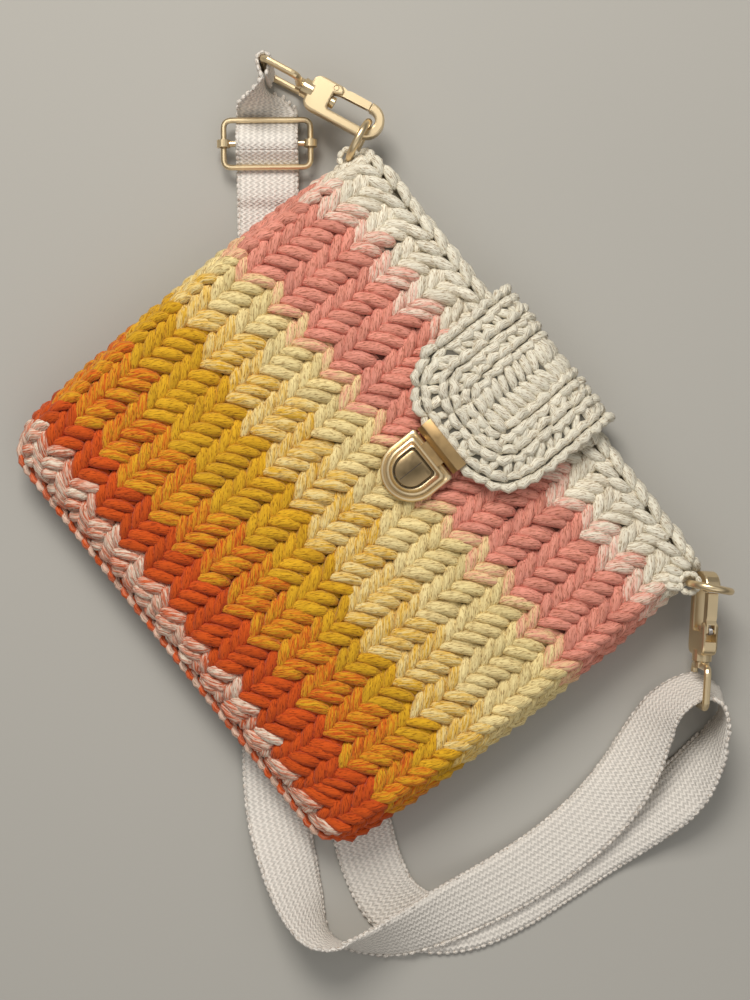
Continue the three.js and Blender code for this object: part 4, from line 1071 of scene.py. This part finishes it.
class FlapSurface:
    """The outside of the flap: across from its middle line, and along from its tip over the fold."""

    middle, half, tip, power = 0.005, 0.0335, 0.026, 2.4

    def __init__(self):
        rise = bezier((0.0400, 0.0345), (0.047, 0.0366), (0.054, 0.0366), 10)
        fall = bezier((0.054, 0.0366), (0.0702, 0.0366), (0.0924, 0.0305), 16)
        angle = np.linspace(math.pi / 2, -math.pi / 2, 24)[1:, None]
        fold = np.array([0.0924, 0.0155]) + np.concatenate(
            [0.0112 * np.cos(angle), 0.0150 * np.sin(angle)], axis=1
        )
        self.line = Profile(np.concatenate([rise, fall[1:], fold]))
        self.length = self.line.length

    def half_at(self, along, inset=0.0):
        """Half the flap's width at a distance from its tip."""
        short = np.clip((self.tip - along) / (self.tip - inset), 0, 1)
        return (self.half - inset) * (1 - short ** self.power) ** (1 / self.power)

    def point(self, across, along):
        line = self.line.at(np.clip(along, 0, self.length))
        return np.stack([self.middle + across, line[..., 0], line[..., 1]], axis=-1)

    def normal(self, along):
        step = 5e-4
        along = np.clip(along, step, self.length - step)
        ahead = self.line.at(along + step) - self.line.at(along - step)
        made = np.stack([0 * ahead[..., 0], -ahead[..., 1], ahead[..., 0]], axis=-1)
        return made / np.linalg.norm(made, axis=-1, keepdims=True)

    def row(self, inset):
        """A line at a distance inside the flap's edge: down one side, round the tip and up the other."""
        side = np.linspace(self.length, self.tip, 30)
        turn = np.linspace(0, math.pi, 60)[1:-1]
        around = np.stack([
            -np.sign(np.cos(turn)) * (self.half - inset) * np.abs(np.cos(turn)) ** (2 / self.power),
            self.tip - (self.tip - inset) * np.abs(np.sin(turn)) ** (2 / self.power),
        ], axis=1)
        left = np.stack([np.full(30, inset - self.half), side], axis=1)
        right = np.stack([np.full(30, self.half - inset), side[::-1]], axis=1)
        return Profile(np.concatenate([left, around, right]))


class CROSSBODY_OT_flap(bpy.types.Operator):
    """Works the flap in rows of chain and posts round its tongue shape"""

    bl_idname = "crossbody.flap"
    bl_label = "Flap"
    chain_pitch, post_pitch, core_pitch = 0.0061, 0.0050, 0.0040
    # The sheet under the rows: room at its tip and sides, depth, thickness and the painted shade that darkens
    # its off-white
    sheet_tip, sheet_side, sheet_depth, sheet_thickness, sheet_shade = 0.0015, 0.0012, 0.0022, 0.0026, 0.24

    def execute(self, context):
        settings = context.scene.crossbody_bag
        self.surface, self.strands = FlapSurface(), Strands()
        self.white = linear(settings.yarns.off_white)
        self.radius = settings.sizes.flap_strand
        self.chance = np.random.default_rng(21)
        self.under(material_once("yarn_gaps", painted_gap_shade_material))
        for inset, lift in ((0.0022, 0.0008), (0.0125, 0.0011), (0.0212, 0.0008)):
            self.chain(inset, lift)
        for low, high in ((0.0035, 0.0118), (0.0138, 0.0206)):
            self.posts(low, high)
        self.core()
        yarn = yarn_material("flap_yarn", 1.15)
        finish_mesh(self.strands.mesh("flap_yarn", 22), yarn, "bag", "flap")
        return {"FINISHED"}

    def under(self, material):
        """The closed sheet that the rows are worked on, coloured with painted shade: the off-white darkened.
        """
        work = bmesh.new()
        bmesh.ops.create_grid(work, x_segments=20, y_segments=48, size=0.5)
        layer = work.verts.layers.float_color.new("yarn_a")
        for vert in work.verts:
            along = self.sheet_tip + (vert.co.y + 0.5) * (self.surface.length - self.sheet_tip)
            across = 2 * vert.co.x * (float(self.surface.half_at(along)) - self.sheet_side)
            vert.co = self.surface.point(across, along) - self.surface.normal(along) * self.sheet_depth
            # Painted shade: the off-white darkened, for the shadow under the rows
            vert[layer] = (*(self.white * self.sheet_shade), 1)
        bmesh.ops.recalc_face_normals(work, faces=work.faces)
        bmesh.ops.solidify(work, geom=work.faces[:], thickness=self.sheet_thickness)
        finish_mesh(outward_mesh("flap_inside", work), material, "bag")

    def lay(self, places, lifts, radius):
        """One strand through three places given as across and along."""
        places = np.array(places)
        points = self.surface.point(places[:, 0], places[:, 1])
        normals = self.surface.normal(places[:, 1])
        points = points + normals * (np.array(lifts) - radius + self.chance.normal(0, 0.0003))[:, None]
        radius = radius * (1 + self.chance.normal(0, 0.08))
        points[:, 2] = np.maximum(points[:, 2], radius * 1.05)
        tone = self.white * (1 + self.chance.normal(0, 0.035))
        self.strands.add(*points, normals[1], radius, tone, tone * 0.86)

    def chain(self, inset, lift):
        """Chain stitches end to end along a row, each of two strands that lean together."""
        outer, middle, inner = (self.surface.row(inset + d) for d in (-0.0023, 0.0, 0.0026))
        count = int(middle.length / self.chain_pitch)
        for i in range(count):
            share = (i + np.array([0.0, 0.75, 1.5]) + self.chance.normal(0, 0.1)) / count
            share = np.clip(share, 0, 1)
            sway = self.chance.normal(0, 0.0004, 2)
            for edge, sink in ((outer, 0.0), (inner, 0.0004)):
                places = [
                    middle.at(share[0] * middle.length), edge.at(share[1] * edge.length) + sway,
                    middle.at(share[2] * middle.length),
                ]
                self.lay(places, (lift - 0.0028, lift + 0.0004 - sink, lift - 0.0022), self.radius)

    def posts(self, low, high):
        """Posts that stand across a row, from one chain to the next."""
        outer, inner = self.surface.row(low), self.surface.row(high)
        count = int((outer.length + inner.length) / 2 / self.post_pitch)
        for i in range(count):
            share = (i + 0.5 + self.chance.normal(0, 0.1)) / count
            lean = 0.0016 / outer.length * (-1 if i % 2 else 1)
            a, b = outer.at((share - lean) * outer.length), inner.at((share + lean) * inner.length)
            self.lay((a, (a + b) / 2, b), (-0.0026, -0.0001, -0.0026), self.radius * 0.95)

    def core(self):
        """The short rows across the middle of the tongue."""
        edge = 0.0226
        for along in np.arange(edge + 0.002, self.surface.length, self.core_pitch):
            half = float(self.surface.half_at(along, edge))
            if half < 0.002:
                continue
            for side in (-1, 1):
                lean = 0.0022 + self.chance.normal(0, 0.0006)
                places = (
                    (side * half, along + lean), (side * half * 0.45, along), (side * -0.0012, along - lean)
                )
                self.lay(places, (-0.0020, 0.0006, -0.0006), self.radius * 1.12)


LOCK_PLACE = Vector((0.005, 0.0245, 0.030))


def d_loop(work, half, top, rise, height, steps=40):
    """A closed D in the plane at a height: round at the bottom, flat at the top, in mm from the lock."""
    corner = min(1.6, half * 0.3)
    round_end = [math.pi + math.pi * i / steps for i in range(steps + 1)]
    points = [(half * math.cos(a), rise + half * math.sin(a)) for a in round_end]
    for side in (1, -1):
        turn = [math.pi / 2 * i / 5 for i in range(6)]
        arc = [(half - corner + corner * math.cos(a), top - corner + corner * math.sin(a)) for a in turn]
        points += arc if side > 0 else [(-x, y) for x, y in reversed(arc)]
    return close_loop(work, [work.verts.new(LOCK_PLACE + Vector((x, y, height)) * MM) for x, y in points])


def d_piece(name, steps, material, body, node):
    """A stepped D from a list of half width, flat top, rise of the round end, and height."""
    work = bmesh.new()
    skin_loops(work, [d_loop(work, *step) for step in steps])
    piece = finish_mesh(outward_mesh(name, work), material, body, node)
    piece.data.set_sharp_from_angle(angle=math.radians(32))
    return piece


def box_mesh(work, low, high):
    """A box between two corners."""
    low, high = Vector(low), Vector(high)
    made = bmesh.ops.create_cube(work, size=1.0)["verts"]
    bmesh.ops.scale(work, vec=high - low, verts=made)
    bmesh.ops.translate(work, vec=(low + high) / 2, verts=made)
    return made


class CROSSBODY_OT_lock(bpy.types.Operator):
    """Makes the push lock: stepped case, button, and the bar on the flap's tip"""

    bl_idname = "crossbody.lock"
    bl_label = "Push lock"

    # The steps of each piece, from the bottom up: half width, flat top, rise of the round end, and height
    flange = (
        (12.2, 11.4, 0.75, 0.35), (12.75, 12.0, 0.75, 0.8), (12.75, 12.0, 0.75, 1.5), (12.3, 11.5, 0.75, 2.0),
        (11.6, 10.8, 0.75, 2.15), (11.2, 10.4, 0.75, 1.9), (10.6, 9.8, 0.75, 1.8),
    )
    dome = (
        (10.5, 9.7, 0.75, 1.9), (10.5, 9.7, 0.75, 3.1), (10.25, 9.5, 0.75, 3.8), (9.75, 9.0, 0.75, 4.15),
        (9.2, 8.5, 0.72, 4.2), (8.85, 8.2, 0.7, 4.6), (8.4, 7.85, 0.6, 6.5), (8.25, 7.75, 0.55, 7.25),
        (7.95, 7.55, 0.5, 7.75), (7.6, 7.3, 0.4, 7.9), (7.3, 7.1, 0.3, 7.75), (7.15, 7.0, 0.2, 7.2),
        (7.1, 6.95, 0.2, 2.3),
    )
    push = ((6.4, 6.4, 0, 4.85), (6.4, 6.4, 0, 8.4), (6.2, 6.2, 0, 8.8), (5.8, 5.8, 0, 9.0))
    line = ((-0.15, -5.6, 8.95), (0.15, 5.6, 9.03))

    def execute(self, context):
        gold = material_once("gold")
        d_piece("lock_flange", self.flange, gold, "bag", "lock_base")
        d_piece("lock_dome", self.dome, gold, "bag", "lock_case")
        self.button(material_once("satin_gold"))
        self.bar(material_once("brushed_gold"))
        return {"FINISHED"}

    def button(self, satin):
        """The button, with a dark line down its middle."""
        piece = d_piece("lock_push", self.push, satin, "button", "lock_button")
        work = bmesh.new()
        work.from_mesh(piece.data)
        made = box_mesh(work, *([v * MM for v in corner] for corner in self.line))
        bmesh.ops.translate(work, vec=LOCK_PLACE, verts=made)
        for face in {f for v in made for f in v.link_faces}:
            face.material_index = 1
            face.smooth = False
        work.to_mesh(piece.data)
        work.free()
        dark, tree, shader = new_material("lock_line")
        feed(tree, shader, Base_Color=(0.05, 0.035, 0.02, 1), Roughness=0.6)
        piece.data.materials.append(dark)

    def bar(self, brushed):
        """The bar that clamps the flap's tip, with a sloped face towards the lock, and its tongue."""
        work = bmesh.new()
        box_mesh(work, (-6.6e-3, 37.2e-3, 30.4e-3), (16.6e-3, 43.8e-3, 36.6e-3))
        slope = [e for e in work.edges if all(v.co.y < 0.0375 and v.co.z > 0.036 for v in e.verts)]
        bmesh.ops.bevel(
            work, geom=slope, offset=0.0022, affect="EDGES", segments=1, profile=0.5, material=-1
        )
        bmesh.ops.bevel(
            work, geom=work.edges[:], offset=0.00028, affect="EDGES", segments=2, profile=0.5, material=-1
        )
        box_mesh(work, (-0.5e-3, 33.4e-3, 32.6e-3), (10.5e-3, 37.4e-3, 33.4e-3))
        piece = finish_mesh(outward_mesh("tongue_bar", work), brushed, "bag", "tongue_clamp")
        piece.data.set_sharp_from_angle(angle=math.radians(30))


class CROSSBODY_OT_fittings(bpy.types.Operator):
    """Makes the corner rings, and gives the other fittings their metal"""

    bl_idname = "crossbody.fittings"
    bl_label = "Rings, hooks and slider"

    def execute(self, context):
        settings = context.scene.crossbody_bag
        gold, steel = material_once("gold"), material_once("spring_steel")
        for lug, out, side in ((LUG_LEFT, RING_LEFT_OUT, "left"), (LUG_RIGHT, RING_RIGHT_OUT, "right")):
            self.ring(settings.sizes, lug, out, side, gold)
        for name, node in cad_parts.items():
            if name in ("bag_body", "flap", "strap"):
                continue
            node.data.materials.clear()
            node.data.materials.append(steel if "spring" in name else gold)
        for side, pin, along in (("left", PIN_LEFT, HOOK_LEFT_ALONG), ("right", PIN_RIGHT, HOOK_RIGHT_ALONG)):
            self.springs(side, Vector(pin), Vector(along), steel)
        return {"FINISHED"}

    def springs(self, side, pin, along, steel):
        """The springs of one side: a coil in place of the lock's spring, on the bag, and one in place of the
        gate's spring.
        """
        coil = self.coil("lock_coil_" + side, "lock_spring_" + side, steel, "bag")
        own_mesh(coil)
        coil = self.coil("gate_coil_" + side, "gate_spring_" + side, steel, None)
        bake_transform(coil)

    def coil(self, name, node, steel, body):
        """A coil of wire on the frame's own spring."""
        work = bmesh.new()
        work.from_mesh(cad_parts[node].data)
        bmesh.ops.remove_doubles(work, verts=work.verts, dist=1e-6)
        return finish_mesh(from_bmesh(name, work), steel, body, node)

    def ring(self, sizes, lug, out, side, gold):
        """A round wire turned about the ring's middle."""
        work = bmesh.new()
        centre = Vector(lug + RING_RADIUS * out) * MM
        up = Vector((0, 0, 1))
        axis = Vector(out).cross(up)
        made = bmesh.ops.create_circle(work, segments=20, radius=sizes.ring_wire / 2)["verts"]
        turn = Matrix((Vector(out), axis, up)).transposed()
        bmesh.ops.rotate(work, cent=(0, 0, 0), matrix=turn, verts=made)
        bmesh.ops.translate(work, vec=centre + Vector(out) * sizes.ring_radius, verts=made)
        bmesh.ops.spin(
            work, geom=work.edges[:], cent=centre, axis=axis, angle=2 * math.pi, steps=72, use_merge=True
        )
        ring = "ring_" + side
        finish_mesh(outward_mesh("corner_" + ring, work), gold, ring, ring)


class CROSSBODY_PT_bag(bpy.types.Panel):
    """Sizes, colours and the steps that make the bag"""

    bl_label = "Crossbody Bag"
    bl_idname = "CROSSBODY_PT_bag"
    bl_space_type = "VIEW_3D"
    bl_region_type = "UI"
    bl_category = "Crossbody Bag"

    def draw(self, context):
        bag = context.scene.crossbody_bag
        for label, group in (("Colours", bag.yarns), ("Sizes", bag.sizes), ("Stage", bag.stage)):
            box = self.layout.box()
            box.label(text=label)
            for key in group.__annotations__:
                box.prop(group, key)
        for operator in OPERATORS:
            self.layout.operator(operator.bl_idname)


OPERATORS = (
    CROSSBODY_OT_stage,
    CROSSBODY_OT_strap,
    CROSSBODY_OT_pouch,
    CROSSBODY_OT_flap,
    CROSSBODY_OT_lock,
    CROSSBODY_OT_fittings,
)
CLASSES = (BagYarns, BagSizes, BagStage, CrossbodyBag, *OPERATORS, CROSSBODY_PT_bag)


def register():
    for made in CLASSES:
        bpy.utils.register_class(made)
    bpy.types.Scene.crossbody_bag = PointerProperty(type=CrossbodyBag)


def unregister():
    del bpy.types.Scene.crossbody_bag
    for made in reversed(CLASSES):
        bpy.utils.unregister_class(made)


def main():
    register()
    for operator in OPERATORS:
        group, name = operator.bl_idname.split(".")
        getattr(getattr(bpy.ops, group), name)()


if __name__ == "__main__":
    main()
